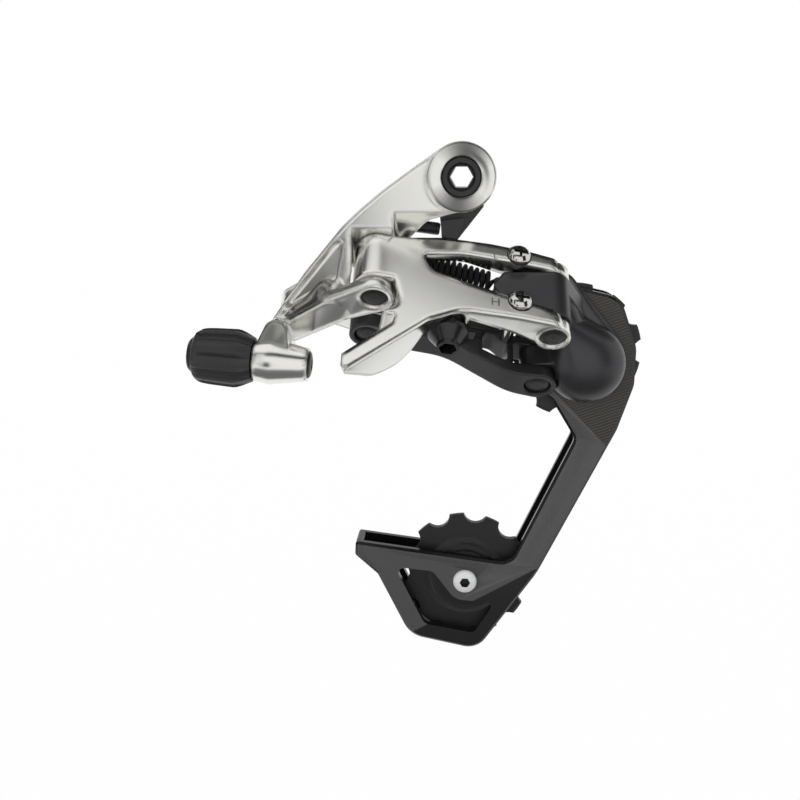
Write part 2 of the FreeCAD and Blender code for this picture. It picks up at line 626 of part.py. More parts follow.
def anchor_bolt():
    top = -45.0 - 1.2
    end = top - ANCHOR_HEAD_LENGTH
    seat = OUTER.moved(*ANCHOR_AT)
    body = turned(seat, [
        (0, end), (ANCHOR_SOCKET_R, end), (ANCHOR_SOCKET_R, top - 4.6), (ANCHOR_FLANGE_R, top - 1.2),
        (ANCHOR_FLANGE_R, top), (ANCHOR_THREAD_R, top), (ANCHOR_THREAD_R, -37.0), (0, -37.0),
    ])
    return less(body, hexagon(seat, 4.5, end - 1, top - 2.0))


def clamp_plate():
    """The washer under the anchor bolt, with a lip that stops it turning."""
    disc = rod(OUTER, *ANCHOR_AT, 4.6, -46.2, -45.0)
    lip = slab(OUTER, [(ANCHOR_AT[0] + 1.0, 1.0), (ANCHOR_AT[0] + 7.6, 1.0), (ANCHOR_AT[0] + 7.6, 4.0),
                       (ANCHOR_AT[0] + 1.0, 4.0)], -46.2, -45.0)
    return less(joined(disc, lip), rod(OUTER, *ANCHOR_AT, ANCHOR_THREAD_R + 0.1, -47, -44))


def limit_screw(height):
    at = OUTER_FACE.moved(LINK_LENGTH - LIMIT_FROM_PIVOT, height, LINK_FACE_T)
    head = turned(at, [
        (0, -LIMIT_HEAD_LENGTH), (LIMIT_HEAD_R * 0.6, -LIMIT_HEAD_LENGTH), (LIMIT_HEAD_R * 0.92, -1.1),
        (LIMIT_HEAD_R, -0.5), (LIMIT_HEAD_R, -0.1), (LIMIT_SCREW_R, -0.1),
        (LIMIT_SCREW_R, LIMIT_SCREW_LENGTH), (0, LIMIT_SCREW_LENGTH),
    ])
    slot = [(-2.0, -0.4), (2.0, -0.4), (2.0, 0.4), (-2.0, 0.4)]
    cross = [slab(at, slot, -3, -0.8), slab(at, [(b, a) for a, b in slot], -3, -0.8)]
    return less(head, *cross)


def bush_pair(frame, low, high):
    bore = rod(frame, 0, 0, PIN_BORE_R, low, high)
    length = (high - low) * 0.4
    return Part.makeCompound([
        rod(frame, 0, 0, LINK_BUSH_R, low, low + length).cut(bore),
        rod(frame, 0, 0, LINK_BUSH_R, high - length, high).cut(bore),
    ])


def inner_link():
    front_neck = LINK_LENGTH - 12.0
    middle = LINK_LENGTH / 2
    side = slab(INNER_FACE, [
        (-8.0, INNER_EAR_LOW_REAR), (middle - 2.0, INNER_EAR_LOW_REAR - 0.8, 20),
        (LINK_LENGTH - 9.0, INNER_EAR_LOW_FRONT, 20), (LINK_LENGTH + 8.0, INNER_EAR_LOW_FRONT),
        (LINK_LENGTH + 8.0, INNER_TOP_FRONT), (LINK_LENGTH - 8.0, INNER_TOP_FRONT, 4),
        (LINK_LENGTH - 14.0, INNER_TOP_FRONT + 2.2, 8), (middle - 12.0, INNER_TOP_REAR, 20),
        (-8.0, INNER_TOP_REAR),
    ], -9, 9)
    waist = slab(INNER, [
        (0, -EAR_R), (10.0, -INNER_LINK_HALF_WIDTH - 0.4, 20), (front_neck, -INNER_LINK_HALF_WIDTH, 20),
        (LINK_LENGTH, -EAR_R), (LINK_LENGTH, EAR_R), (front_neck, INNER_LINK_HALF_WIDTH, 20),
        (12.0, INNER_LINK_HALF_WIDTH - 0.6, 20), (0, EAR_R),
    ], -60, -10)
    plan = joined(waist, rod(INNER, 0, 0, EAR_R, -60, -10), rod(INNER, LINK_LENGTH, 0, EAR_R, -60, -10))
    rear_gap = slab(INNER, [(-9, -9), (7.6, -9), (7.6, 9), (-9, 9)],
                    LUG_LOW_REAR - EAR_GAP, LUG_LOW_REAR + INNER_LUG_HEIGHT + EAR_GAP)
    front_gap = slab(INNER, [(LINK_LENGTH - 8.6, -9), (LINK_LENGTH + 9, -9), (LINK_LENGTH + 9, 9),
                             (LINK_LENGTH - 8.6, 9)],
                     LUG_LOW_FRONT - EAR_GAP, LUG_LOW_FRONT + INNER_LUG_HEIGHT + EAR_GAP)
    window = slab(INNER_FACE, [
        (LINK_LENGTH - 18.0, LUG_LOW_FRONT + 3.4, 0.8), (LINK_LENGTH - 18.0, LUG_LOW_FRONT + 10.4, 2),
        (LINK_LENGTH - 14.0, LUG_LOW_FRONT + 10.4, 3), (LINK_LENGTH - 10.2, LUG_LOW_FRONT + 7.0, 1),
        (LINK_LENGTH - 10.2, LUG_LOW_FRONT + 0.2, 1),
    ], -9, 9)
    top_edges = less(
        slab(INNER, [(middle + 4, -9), (LINK_LENGTH + 9, -9), (LINK_LENGTH + 9, 9), (middle + 4, 9)],
             LUG_LOW_FRONT + INNER_LUG_HEIGHT, INNER_TOP_FRONT + 1),
        arm(INNER, (0, 0), INNER_TOP_EAR_R, (LINK_LENGTH, 0), INNER_TOP_EAR_R, -60, -10),
    )
    solid = side.common(plan).cut(top_edges)
    bores = [rod(INNER, 0, 0, PIN_R, -60, -10), rod(INNER, LINK_LENGTH, 0, PIN_R, -60, -10)]
    heads = [
        rod(INNER, a, 0, PIN_HEAD_R, face - 1, face + PIN_HEAD_LENGTH)
        for a, face in ((0, INNER_EAR_LOW_REAR), (LINK_LENGTH, INNER_EAR_LOW_FRONT))
    ]
    return less(solid, rear_gap, front_gap, window, *bores, *heads)


# ---------------------------------------------------------------- P-knuckle
P_LUG_LOW = OUTER_EAR_LOW_TOP + EAR_GAP
P_LUG_HIGH = OUTER_EAR_HIGH - EAR_GAP
BUSH_FRONT_Y = DRUM_FRONT_Y + 3.4
AXLE_HOUSING_R = AXLE_R + RUNNING + AXLE_BUSH_WALL + 1.0
CAVITY_R = DRUM_R - DRUM_WALL
COIL_BASE_Y = DRUM_OPEN_Y - CAVITY_DEPTH + COIL_WIRE_R + 0.2
# The retaining screw enters the drum from below, along its own third direction
RETAINER = Frame(CAGE_PIVOT.at(0, 0, RETAINER_Y), X, Y, Z * -1)
lug_turn = math.radians(STOP_LUG_ANGLE)
STOP = Frame(
    CAGE_PIVOT.origin,
    X * math.cos(lug_turn) + Z * math.sin(lug_turn),
    Z * math.cos(lug_turn) - X * math.sin(lug_turn),
    Y,
)
# The spring's front post, as (x from the front pin, height above the shield's face, along the pins)
front_post = OUTER.at(LINK_LENGTH + SPRING_FRONT[0], SPRING_T, SPRING_FRONT[1])
SPRING_POST_AT = (front_post.x - P1[0], front_post.dot(INBOARD) - (P1[1] - EAR_R), SPRING_FRONT[1])


def coil_end(turns):
    angle = 2 * math.pi * turns
    return COIL_R * math.cos(angle), COIL_R * math.sin(angle)


def knuckle_shell():
    """Two smooth lobes, one over the spring's drum and one up to the front pin, inside a thin flared rim."""
    rim_y = DRUM_OPEN_Y - RIM_THICKNESS
    rim = arm(CAGE_PIVOT, (0, 0), DRUM_R, HOOD_TIP, HOOD_TIP_R, rim_y, DRUM_OPEN_Y)
    lower = lobe(CAGE_PIVOT, [
        ((0, 0), DRUM_R - 0.8, (-4.6, 9.0), 6.4, rim_y),
        ((0, 0), DRUM_R - 0.9, (-5.2, 10.0), 5.4, DRUM_OPEN_Y - CAVITY_DEPTH),
        ((-0.4, 0.2), DRUM_R - 1.9, (-5.6, 10.8), 4.2, DRUM_FRONT_Y + 5.5),
        ((-1.0, 0.5), DRUM_R - 4.4, (-5.8, 10.2), 3.2, DRUM_FRONT_Y + 2.6),
        ((-1.6, 0.8), DRUM_R - 7.2, (-5.8, 8.8), 2.2, DRUM_FRONT_Y + 1.0),
        ((-2.6, 1.6), DRUM_R - 11.4, (-5.2, 5.6), 1.0, DRUM_FRONT_Y),
    ])
    upper = lobe(CAGE_PIVOT, [
        ((-1.0, 1.5), DRUM_R - 1.6, HOOD_TIP, HOOD_TIP_R - 0.5, rim_y),
        ((-3.0, 5.0), DRUM_R - 5.2, (-8.6, 22.2), 3.9, rim_y - 3.4),
        ((-4.6, 8.0), DRUM_R - 7.4, (-9.9, 23.2), 3.6, DRUM_FRONT_Y + 9.5),
        ((-5.2, 10.0), DRUM_R - 8.4, (-10.6, 23.8), 3.3, DRUM_FRONT_Y + 5.5),
        ((-6.4, 11.0), DRUM_R - 10.4, (-11.0, 23.2), 1.8, DRUM_FRONT_Y + 3.0),
    ])
    return joined(lower, upper, rim)


def p_knuckle():
    lug1 = joined(
        rod(PINS, *P1, EAR_R, P_LUG_LOW, P_LUG_HIGH),
        arm(PINS, P1, EAR_R, (P1[0] + 5.5, P1[1] + 7.5), 4.6, P_LUG_LOW + 9.5, P_LUG_HIGH),
    )
    lug2 = arm(PINS, P2, EAR_R - 0.3, (P2[0] + 9.0, P2[1] - 1.0), 5.0, LUG_LOW_FRONT,
               LUG_LOW_FRONT + INNER_LUG_HEIGHT)
    face = Frame(PINS.at(P1[0], P1[1] - EAR_R), X, ALONG_PINS, INBOARD)
    shield = slab(face, [
        (-17.1, -29.5, 1), (-14.1, P_LUG_HIGH - 0.1, 1), (0, P_LUG_HIGH - 0.1), (0, -39.2), (-5.9, -36.9),
        (-9.9, -33.5, 3), (-14.7, -33.3, 1),
    ], 0, 2.6)
    post = rod(face, SPRING_POST_AT[0], SPRING_POST_AT[2], SPRING_POST_R, 1.0, SPRING_POST_AT[1] + 1.6)
    stop_lug = slab(STOP, [(DRUM_R - 2, -1.8), (DRUM_R + 4, -1.8), (DRUM_R + 4, 1.8), (DRUM_R - 2, 1.8)],
                    -1.0, DRUM_OPEN_Y)
    ear_rooms = [
        rod(PINS, *P1, EAR_R + 1.0, OUTER_EAR_LOW - 6, P_LUG_LOW + 0.1),
        rod(PINS, *P1, EAR_R + 0.7, P_LUG_HIGH - 0.1, OUTER_EAR_HIGH_TOP + 8),
        rod(PINS, *P2, EAR_R + 0.7, INNER_EAR_LOW_FRONT - 9, LUG_LOW_FRONT + 0.1),
        rod(PINS, *P2, INNER_TOP_EAR_R + 0.5, LUG_LOW_FRONT + INNER_LUG_HEIGHT - 0.1, LUG_LOW_FRONT + 30),
    ]
    solid = joined(less(knuckle_shell(), *ear_rooms), lug1, lug2, shield, post, stop_lug)
    cavity = ring(CAGE_PIVOT, 0, 0, CAVITY_R, AXLE_HOUSING_R, DRUM_OPEN_Y - CAVITY_DEPTH, DRUM_OPEN_Y + 1)
    axle_bore = rod(CAGE_PIVOT, 0, 0, AXLE_R + AXLE_BUSH_WALL + RUNNING, BUSH_FRONT_Y, DRUM_OPEN_Y + 1)
    cuts = [
        cavity, axle_bore,
        rod(RETAINER, 0, 0, RETAINER_R, 4.0, 30.0),
        rod(CAGE_PIVOT, *coil_end(0), COIL_WIRE_R, COIL_BASE_Y - 2.5, COIL_BASE_Y),
        slab(CAGE_PIVOT, [(-50, -40), (40, -40), (40, 50), (-50, 50)], DRUM_OPEN_Y, 40),
        rod(PINS, *P1, LINK_BUSH_R, P_LUG_LOW - 1, P_LUG_HIGH + 1),
        rod(PINS, *P2, PIN_R + OPEN_PIVOT, LUG_LOW_FRONT - 20, LUG_LOW_FRONT + 20),
    ]
    return less(solid, *cuts)


def axle_bush():
    sleeve = ring(CAGE_PIVOT, 0, 0, AXLE_R + AXLE_BUSH_WALL + RUNNING, AXLE_R + RUNNING,
                  BUSH_FRONT_Y, DRUM_OPEN_Y - 0.5)
    return less(sleeve, rod(RETAINER, 0, 0, RETAINER_R + 0.1, 4.0, 9.0))


def retaining_screw():
    """A headless screw whose tip stands in the axle's groove."""
    tip = AXLE_R - AXLE_GROOVE_DEPTH + FREE
    tail = AXLE_R + 3.4
    body = turned(RETAINER, [(0, tip), (RETAINER_R - 0.3, tip), (RETAINER_R, tip + 0.4),
                             (RETAINER_R, tail), (0, tail)])
    return less(body, hexagon(RETAINER, 1.5, tail - 1.5, tail + 1))


def cage_seal():
    """The dust ring on the cage's outer plate, which turns in the drum's mouth."""
    body = ring(CAGE_PIVOT, 0, 0, CAVITY_R - RUNNING, AXLE_HOUSING_R + FREE,
                DRUM_OPEN_Y - SEAL_DEPTH, OUTER_PLATE_Y)
    return less(body, rod(CAGE_PIVOT, *coil_end(COIL_TURNS), COIL_WIRE_R + 0.05, 0, OUTER_PLATE_Y + 1))


def cage_spring():
    """The torsion spring, one straight leg into the drum and one through the seal into the cage's plate."""
    wound = helix(CAGE_PIVOT, COIL_R, COIL_LENGTH / COIL_TURNS, COIL_TURNS, COIL_BASE_Y)
    foot = CAGE_PIVOT.at(*coil_end(0), COIL_BASE_Y - 2.3)
    tip = CAGE_PIVOT.at(*coil_end(COIL_TURNS), OUTER_PLATE_Y + 1.5)
    return wire_through([foot] + wound + [tip], COIL_WIRE_R)


# ---------------------------------------------------------------- return spring
def spring_ends():
    return (OUTER.at(SPRING_REAR[0], SPRING_T, SPRING_REAR[1]), front_post)


def return_spring():
    """An extension spring with an open hook round a post at each end."""
    rear, front = spring_ends()
    along = (front - rear).normalize()
    side = ALONG_PINS.cross(along).normalize()
    frame = Frame(rear, side, along.cross(side), along)
    length = front.distanceToPoint(rear)
    margin = SPRING_LOOP_R + SPRING_WIRE_R
    wound = helix(frame, SPRING_R, (length - 2 * margin) / SPRING_TURNS, SPRING_TURNS, margin)

    def hook(centre, sense):
        reach = sense * SPRING_LOOP_R
        turns = [2 * math.pi * k / COIL_STEPS for k in range(COIL_STEPS - 1)]
        return [frame.at(0, SPRING_LOOP_R * math.sin(a), centre + reach * math.cos(a)) for a in turns]

    return wire_through(hook(0, 1)[::-1] + wound + hook(length, -1), SPRING_WIRE_R)


# ---------------------------------------------------------------- cage
INNER_PLATE_Y = OUTER_PLATE_Y + PLATE_THICKNESS + PULLEY_GAP
MID_Y = OUTER_PLATE_Y + PLATE_THICKNESS + PULLEY_GAP / 2


def from_guide(*corners):
    return [(GUIDE_OFFSET[0] + c[0], GUIDE_OFFSET[1] + c[1], *c[2:]) for c in corners]


def from_tension(*corners):
    return [(TENSION_AT[0] + c[0], TENSION_AT[1] + c[1], *c[2:]) for c in corners]


HEAD_OUTLINE = from_guide(
    (1.2, -27.6, 3), (-6.5, -15.0, 3), (-17.5, -8.0, 10), (-17.0, 14.0, 12), (0.0, 20.5, 10), (13.5, 17.5, 8),
    (19.0, 2.0, 10), (18.9, -10.0, 8), (14.2, -24.5, 10),
)
FOOT_OUTLINE = from_tension(
    (23.5, 3.2, 30), (4.4, -24.6, 7), (-18.1, -20.0, 9), (-28.9, 1.6, 3), (-36.4, 8.2, 1.5),
    (-36.2, 12.9, 1.0), (14.8, 6.5, 5),
)
WINDOW_OUTLINE = from_tension(
    (-23.2, 4.4, 1.8), (-10.6, 3.2, 3), (-3.2, -6.6, 6), (9.9, -7.4, 1.6), (3.2, -18.4, 2),
    (-13.3, -15.6, 3.5),
)


def plate(y0, bevelled_y):
    """A cage plate with its outside edges bevelled and the foot's window cut through."""
    body = slab(CAGE_PIVOT, HEAD_OUTLINE + FOOT_OUTLINE, y0, y0 + PLATE_THICKNESS)
    level = CAGE_PIVOT.origin.y + bevelled_y
    rim = [edge for edge in body.Edges
           if abs(edge.BoundBox.YMin - level) < 0.01 and abs(edge.BoundBox.YMax - level) < 0.01]
    body = body.makeChamfer(PLATE_BEVEL, rim)
    return body.cut(slab(CAGE_PIVOT, WINDOW_OUTLINE, y0 - 1, y0 + PLATE_THICKNESS + 1))


def outer_plate():
    y0 = OUTER_PLATE_Y
    y1 = OUTER_PLATE_Y + PLATE_THICKNESS
    return less(
        plate(y0, y0),
        rod(CAGE_PIVOT, 0, 0, AXLE_COLLAR_R, y0 - 1, y1 + 1),
        rod(CAGE_PIVOT, *coil_end(COIL_TURNS), COIL_WIRE_R, y0 - 1, y0 + 1.5),
        rod(CAGE_PIVOT, *STOP_PIN_AT, STOP_PIN_R - 0.7, y0 - 1, y1 + 1),
        rod(TENSION_PULLEY, 0, 0, PULLEY_BOLT_R, y0 - 1, y1 + 1),
        rod(TENSION_PULLEY, 0, 0, PULLEY_BOLT_HEAD_R + 0.1, y0 - 1, y0 + 1.4),
    )


def inner_plate():
    toe = from_tension((-36.4, 8.2, 1.0), (-36.2, 12.9, 0.8), (-33.6, 12.6, 0.8), (-33.6, 6.2, 0.8))
    bridge = slab(CAGE_PIVOT, toe, OUTER_PLATE_Y + PLATE_THICKNESS, INNER_PLATE_Y + 1)
    y1 = INNER_PLATE_Y + PLATE_THICKNESS
    return less(
        joined(plate(INNER_PLATE_Y, y1), bridge),
        rod(GUIDE, 0, 0, PULLEY_BOLT_R, INNER_PLATE_Y - 1, y1 + 1),
        rod(TENSION_PULLEY, 0, 0, PULLEY_BOLT_R, INNER_PLATE_Y - 1, y1 + 1),
    )


def cage_axle():
    """The axle, its collar set in the outer plate and its tapped hole off centre for the guide bolt."""
    groove = RETAINER_Y - AXLE_GROOVE_WIDTH / 2
    body = turned(CAGE_PIVOT, [
        (0, BUSH_FRONT_Y + 0.5), (AXLE_R - 0.6, BUSH_FRONT_Y + 0.5), (AXLE_R, BUSH_FRONT_Y + 1.1),
        (AXLE_R, groove), (AXLE_R - AXLE_GROOVE_DEPTH, groove),
        (AXLE_R - AXLE_GROOVE_DEPTH, groove + AXLE_GROOVE_WIDTH), (AXLE_R, groove + AXLE_GROOVE_WIDTH),
        (AXLE_R, OUTER_PLATE_Y), (AXLE_COLLAR_R, OUTER_PLATE_Y),
        (AXLE_COLLAR_R, OUTER_PLATE_Y + PLATE_THICKNESS), (0, OUTER_PLATE_Y + PLATE_THICKNESS),
    ])
    return less(body, rod(GUIDE, 0, 0, PULLEY_BOLT_R, -1.5, OUTER_PLATE_Y + PLATE_THICKNESS + 1))


pin_turn = lug_turn + math.asin((1.8 + STOP_PIN_R + FREE) / STOP_PIN_REACH)
STOP_PIN_AT = (STOP_PIN_REACH * math.cos(pin_turn), STOP_PIN_REACH * math.sin(pin_turn))


def stop_pin():
    """The pin on the cage that comes to rest against the drum's lug."""
    return joined(
        rod(CAGE_PIVOT, *STOP_PIN_AT, STOP_PIN_R, 0.5, OUTER_PLATE_Y),
        rod(CAGE_PIVOT, *STOP_PIN_AT, STOP_PIN_R - 0.7, OUTER_PLATE_Y, OUTER_PLATE_Y + PLATE_THICKNESS),
    )


def pulley_bolt(axis, head_y, seat_y, end_y):
    """A button-head bolt from its head's crown at head_y through to end_y."""
    sense = 1 if end_y > head_y else -1
    at = Frame(axis.at(0, 0, head_y), axis.ex * sense, axis.ey, axis.ez * sense)
    seat = abs(seat_y - head_y)
    end = abs(end_y - head_y)
    head_r = PULLEY_BOLT_HEAD_R
    body = turned(at, [
        (0, 0), (head_r - 1.2, 0), (head_r - 0.3, 0.5), (head_r, 1.2), (head_r, seat),
        (PULLEY_BOLT_R, seat), (PULLEY_BOLT_R, end - 0.5), (PULLEY_BOLT_R - 0.5, end), (0, end),
    ])
    return less(body, hexagon(at, 3.0, -1, 1.8))


def guide_bolt():
    head_y = INNER_PLATE_Y + PLATE_THICKNESS + PULLEY_BOLT_HEAD_LENGTH
    return pulley_bolt(GUIDE, head_y, INNER_PLATE_Y + PLATE_THICKNESS, OUTER_PLATE_Y - 5.0)


def tension_bolt():
    seat_y = OUTER_PLATE_Y + 1.4
    return pulley_bolt(TENSION_PULLEY, seat_y - PULLEY_BOLT_HEAD_LENGTH, seat_y,
                       INNER_PLATE_Y + PLATE_THICKNESS)


def pulley(centre, phase):
    pitch_r = CHAIN_PITCH / (2 * math.sin(math.pi / TEETH))
    tip_r = pitch_r - ROLLER_R + TOOTH_HEIGHT
    half_tooth = TOOTH_THICKNESS / 2
    half_hub = HUB_THICKNESS / 2
    hub = centre.moved(0, 0, MID_Y)
    side = [
        (RACE_OUTER_R, half_hub), (HUB_R - 0.8, half_hub), (HUB_R, half_hub - 0.8),
        (HUB_R + 1.5, half_tooth), (tip_r - 0.8, half_tooth), (tip_r, half_tooth - 0.5),
    ]
    disc = turned(hub, [(radius, -height) for radius, height in side] + side[::-1])
    seats = []
    for k in range(TEETH):
        angle = 2 * math.pi * (k + phase) / TEETH
        seats.append(rod(hub, pitch_r * math.cos(angle), pitch_r * math.sin(angle), ROLLER_R, -5, 5))
    return less(disc, *seats)


def outer_race(centre):
    at = centre.moved(0, 0, MID_Y)
    return ring(at, 0, 0, RACE_OUTER_R, RACE_OUTER_R - RACE_WALL, -BEARING_WIDTH / 2, BEARING_WIDTH / 2)


BALL_CIRCLE_R = RACE_OUTER_R - RACE_WALL - RUNNING - BALL_R


def inner_race(centre):
    at = centre.moved(0, 0, MID_Y)
    hub = rod(at, 0, 0, BALL_CIRCLE_R - BALL_R - RUNNING, -BEARING_WIDTH / 2, BEARING_WIDTH / 2)
    sleeve = rod(at, 0, 0, 3.2, -PULLEY_GAP / 2, PULLEY_GAP / 2)
    return less(joined(hub, sleeve), rod(at, 0, 0, PULLEY_BOLT_R + 0.02, -9, 9))


def balls(centre):
    at = centre.moved(0, 0, MID_Y)
    found = []
    for k in range(BALLS):
        angle = 2 * math.pi * k / BALLS
        found.append(Part.makeSphere(BALL_R, at.at(BALL_CIRCLE_R * math.cos(angle),
                                                   BALL_CIRCLE_R * math.sin(angle))))
    return Part.makeCompound(found)


def bearing_caps(centre):
    at = centre.moved(0, 0, MID_Y)
    side = PULLEY_GAP / 2
    cap = ring(at, 0, 0, CAP_R, 3.25, -side, -side + CAP_THICKNESS)
    other = ring(at, 0, 0, CAP_R, 3.25, side - CAP_THICKNESS, side)
    return Part.makeCompound([cap, other])


# ---------------------------------------------------------------- parts
def main():
    os.makedirs("parts", exist_ok=True)
    barrel_low = KNUCKLE_EAR_LOW_TOP + EAR_GAP
    barrel_high = KNUCKLE_SEAT - EAR_GAP
    save("hanger_bolt", hanger_bolt())
    save("stop_washer", stop_washer())
    save("b_knuckle", b_knuckle())
    save("hanger_bushes", hanger_bushes())
    save("outer_rear_pin", link_pin(B1, KNUCKLE_EAR_LOW, REAR_PIN_TOP))
    save("b_tension_screw", tension_screw())
    save("cable_end_cap", cable_end_cap())
    save("housing_seat", housing_seat())
    save("adjuster_barrel", adjuster_barrel())
    save("adjuster_sleeve", adjuster_sleeve())
    save("outer_link", outer_link())
    save("outer_link_bushes", bush_pair(OUTER, barrel_low, barrel_high))
    save("outer_front_pin", link_pin(P1, OUTER_EAR_LOW, OUTER_EAR_HIGH_TOP))
    save("cable_anchor_bolt", anchor_bolt())
    save("cable_clamp_plate", clamp_plate())
    save("h_limit_screw", limit_screw(LIMIT_H_HEIGHT))
    save("l_limit_screw", limit_screw(LIMIT_L_HEIGHT))
    save("return_spring", return_spring())
    save("inner_link", inner_link())
    save("inner_rear_pin", link_pin(B2, INNER_EAR_LOW_REAR, INNER_TOP_REAR))
    save("inner_front_pin", link_pin(P2, INNER_EAR_LOW_FRONT, INNER_TOP_FRONT))
    save("p_knuckle", p_knuckle())
    save("p_knuckle_bushes", bush_pair(PINS.moved(*P1), P_LUG_LOW, P_LUG_HIGH))
    save("cage_axle_bush", axle_bush())
    save("axle_retaining_screw", retaining_screw())
    save("cage_spring", cage_spring())
    save("cage_seal", cage_seal())
    save("cage_axle", cage_axle())
    save("cage_outer_plate", outer_plate())
    save("cage_inner_plate", inner_plate())
    save("cage_stop_pin", stop_pin())
    save("guide_bolt", guide_bolt())
    save("tension_bolt", tension_bolt())
    for name, centre, phase in (("guide", GUIDE, 0.0), ("tension", TENSION_PULLEY, 0.5)):
        save(name + "_pulley", pulley(centre, phase))
        save(name + "_outer_race", outer_race(centre))
        save(name + "_balls", balls(centre))
        save(name + "_inner_race", inner_race(centre))
        save(name + "_bearing_caps", bearing_caps(centre))


main()
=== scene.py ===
# %% [markdown]
# # A rear bicycle derailleur
# A derailleur moves the chain from one sprocket to the next. A slanted parallelogram carries a sprung cage
# with two toothed pulleys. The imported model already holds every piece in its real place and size, so this
# lesson loads it as a frame, gives each piece its finish, and remakes the pieces whose shape or finish is
# finer than the frame's: the forged edges, the cage's facets, the boss's face, the cable's cap, the thread,
# the spring, the limit screws, two letters, a bolt's socket and the grip's flutes.

# %% Load the frame
import bpy
import bmesh
import json
import math
from mathutils import Matrix, Vector


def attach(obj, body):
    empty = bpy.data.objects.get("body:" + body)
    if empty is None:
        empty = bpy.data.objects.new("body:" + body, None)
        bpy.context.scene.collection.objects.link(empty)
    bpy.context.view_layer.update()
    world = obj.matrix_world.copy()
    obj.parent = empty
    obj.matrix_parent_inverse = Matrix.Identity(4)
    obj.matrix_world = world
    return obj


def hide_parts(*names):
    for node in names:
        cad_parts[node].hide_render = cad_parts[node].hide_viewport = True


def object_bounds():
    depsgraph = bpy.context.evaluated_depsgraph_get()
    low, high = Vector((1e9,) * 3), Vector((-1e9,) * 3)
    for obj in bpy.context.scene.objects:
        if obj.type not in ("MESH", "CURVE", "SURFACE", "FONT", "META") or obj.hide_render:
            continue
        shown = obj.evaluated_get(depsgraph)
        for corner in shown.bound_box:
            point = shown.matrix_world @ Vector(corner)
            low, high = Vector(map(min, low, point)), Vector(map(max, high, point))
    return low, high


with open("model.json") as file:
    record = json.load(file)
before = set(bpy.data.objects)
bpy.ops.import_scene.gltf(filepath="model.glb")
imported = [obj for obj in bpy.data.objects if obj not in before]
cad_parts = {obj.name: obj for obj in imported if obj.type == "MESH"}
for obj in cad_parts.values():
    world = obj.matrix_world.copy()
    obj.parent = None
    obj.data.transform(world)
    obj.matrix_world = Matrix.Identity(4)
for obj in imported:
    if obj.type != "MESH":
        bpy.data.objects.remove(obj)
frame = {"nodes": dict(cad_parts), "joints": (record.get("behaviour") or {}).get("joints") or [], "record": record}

cad_box = [list(corner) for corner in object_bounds()]
MM = 0.001

# %% [markdown]
# The joints of the frame give the directions that everything else follows: the pins lean with the slant,
# and each pivot's place and axis are known without measuring anything again.

# %% Read the pivots
joints = {joint["name"]: joint for joint in frame["joints"]}


def pivot(name):
    """A joint's point and direction, in metres. A slide has no point, and gives the origin."""
    joint = joints[name]
    return Vector(joint.get("pos_m", (0, 0, 0))), Vector(joint["axis"]).normalized()


link_at, pin_way = pivot("outer_link_pivot")
front_at, _ = pivot("p_knuckle_pivot")
cage_at, _ = pivot("cage_pivot")
print("pins lean", round(math.degrees(math.asin(pin_way.z)), 1), "degrees")

# %% [markdown]
# The camera stands on the derailleur's outer side, level with the hanger bolt, and looks slightly down and
# towards the rear. A 45 mm lens keeps the perspective of a product picture taken from close by. A longer one
# from further away would flatten the depth between the cage and the links.

# %% Place the camera
LENS = 45
SENSOR_WIDTH = 36
CAMERA_PLACE = (0.00153, -0.304, 0.00138)
DEGREES_DOWN = 12.844
DEGREES_TO_THE_REAR = 3.7375

camera_data = bpy.data.cameras.new("camera")
camera_data.lens = LENS
camera_data.sensor_width = SENSOR_WIDTH
camera = bpy.data.objects.new("camera", camera_data)
camera.location = CAMERA_PLACE
camera.rotation_euler = (math.radians(90 - DEGREES_DOWN), 0, math.radians(DEGREES_TO_THE_REAR))
bpy.context.scene.collection.objects.link(camera)
bpy.context.scene.camera = camera
print("camera", [round(value, 4) for value in camera.location])

# %% [markdown]
# Polished metal shows the room more than itself, so the room matters as much as the lamps. Three soft lamps
# give the plain light. They could be left to show in the metal too, but each would be a hard bright patch
# there, so they are hidden from reflections, and the room makes those.

# %% Hang the lamps
scene = bpy.context.scene
scene.view_settings.view_transform = "Standard"
middle = (cage_at + link_at) / 2


def facing(place, target):
    """The turn that points an object's own -Z from place to target."""
    return (Vector(target) - Vector(place)).to_track_quat("-Z", "Y").to_euler()


def soft_lamp(name, place, width, height, power):
    """A rectangular area lamp that points at the middle of the linkage."""
    data = bpy.data.lights.new(name, "AREA")
    data.shape = "RECTANGLE"
    data.size = width
    data.size_y = height
    data.energy = power
    lamp = bpy.data.objects.new(name, data)
    lamp.location = place
    lamp.rotation_euler = facing(place, middle)
    lamp.visible_glossy = False
    scene.collection.objects.link(lamp)


soft_lamp("overhead", (0.20, -0.25, 0.60), 0.80, 0.60, 2.6)
soft_lamp("front_left", (-0.40, -0.75, 0.05), 0.50, 0.50, 5.0)
soft_lamp("right_side", (0.80, -0.20, 0.05), 0.30, 0.60, 0.6)
print("lamps:", len(bpy.data.lights))

# %% [markdown]
# The white room gives the light parts of each reflection, and dark cards give the dark ones. A card is one
# flat rectangle from the grid operator, turned to face the linkage, and it stands where a polished face
# should reflect something dark. The camera doesn't see the cards, though they also hold back a little of the
# room's light.

# %% Stand the cards


def plain_paint(name, grey, roughness):
    """A plain grey material for the floor and the cards."""
    paint = bpy.data.materials.new(name)
    paint.use_nodes = True
    shader = paint.node_tree.nodes["Principled BSDF"]
    shader.inputs["Base Color"].default_value = (grey, grey, grey, 1)
    shader.inputs["Roughness"].default_value = roughness
    return paint


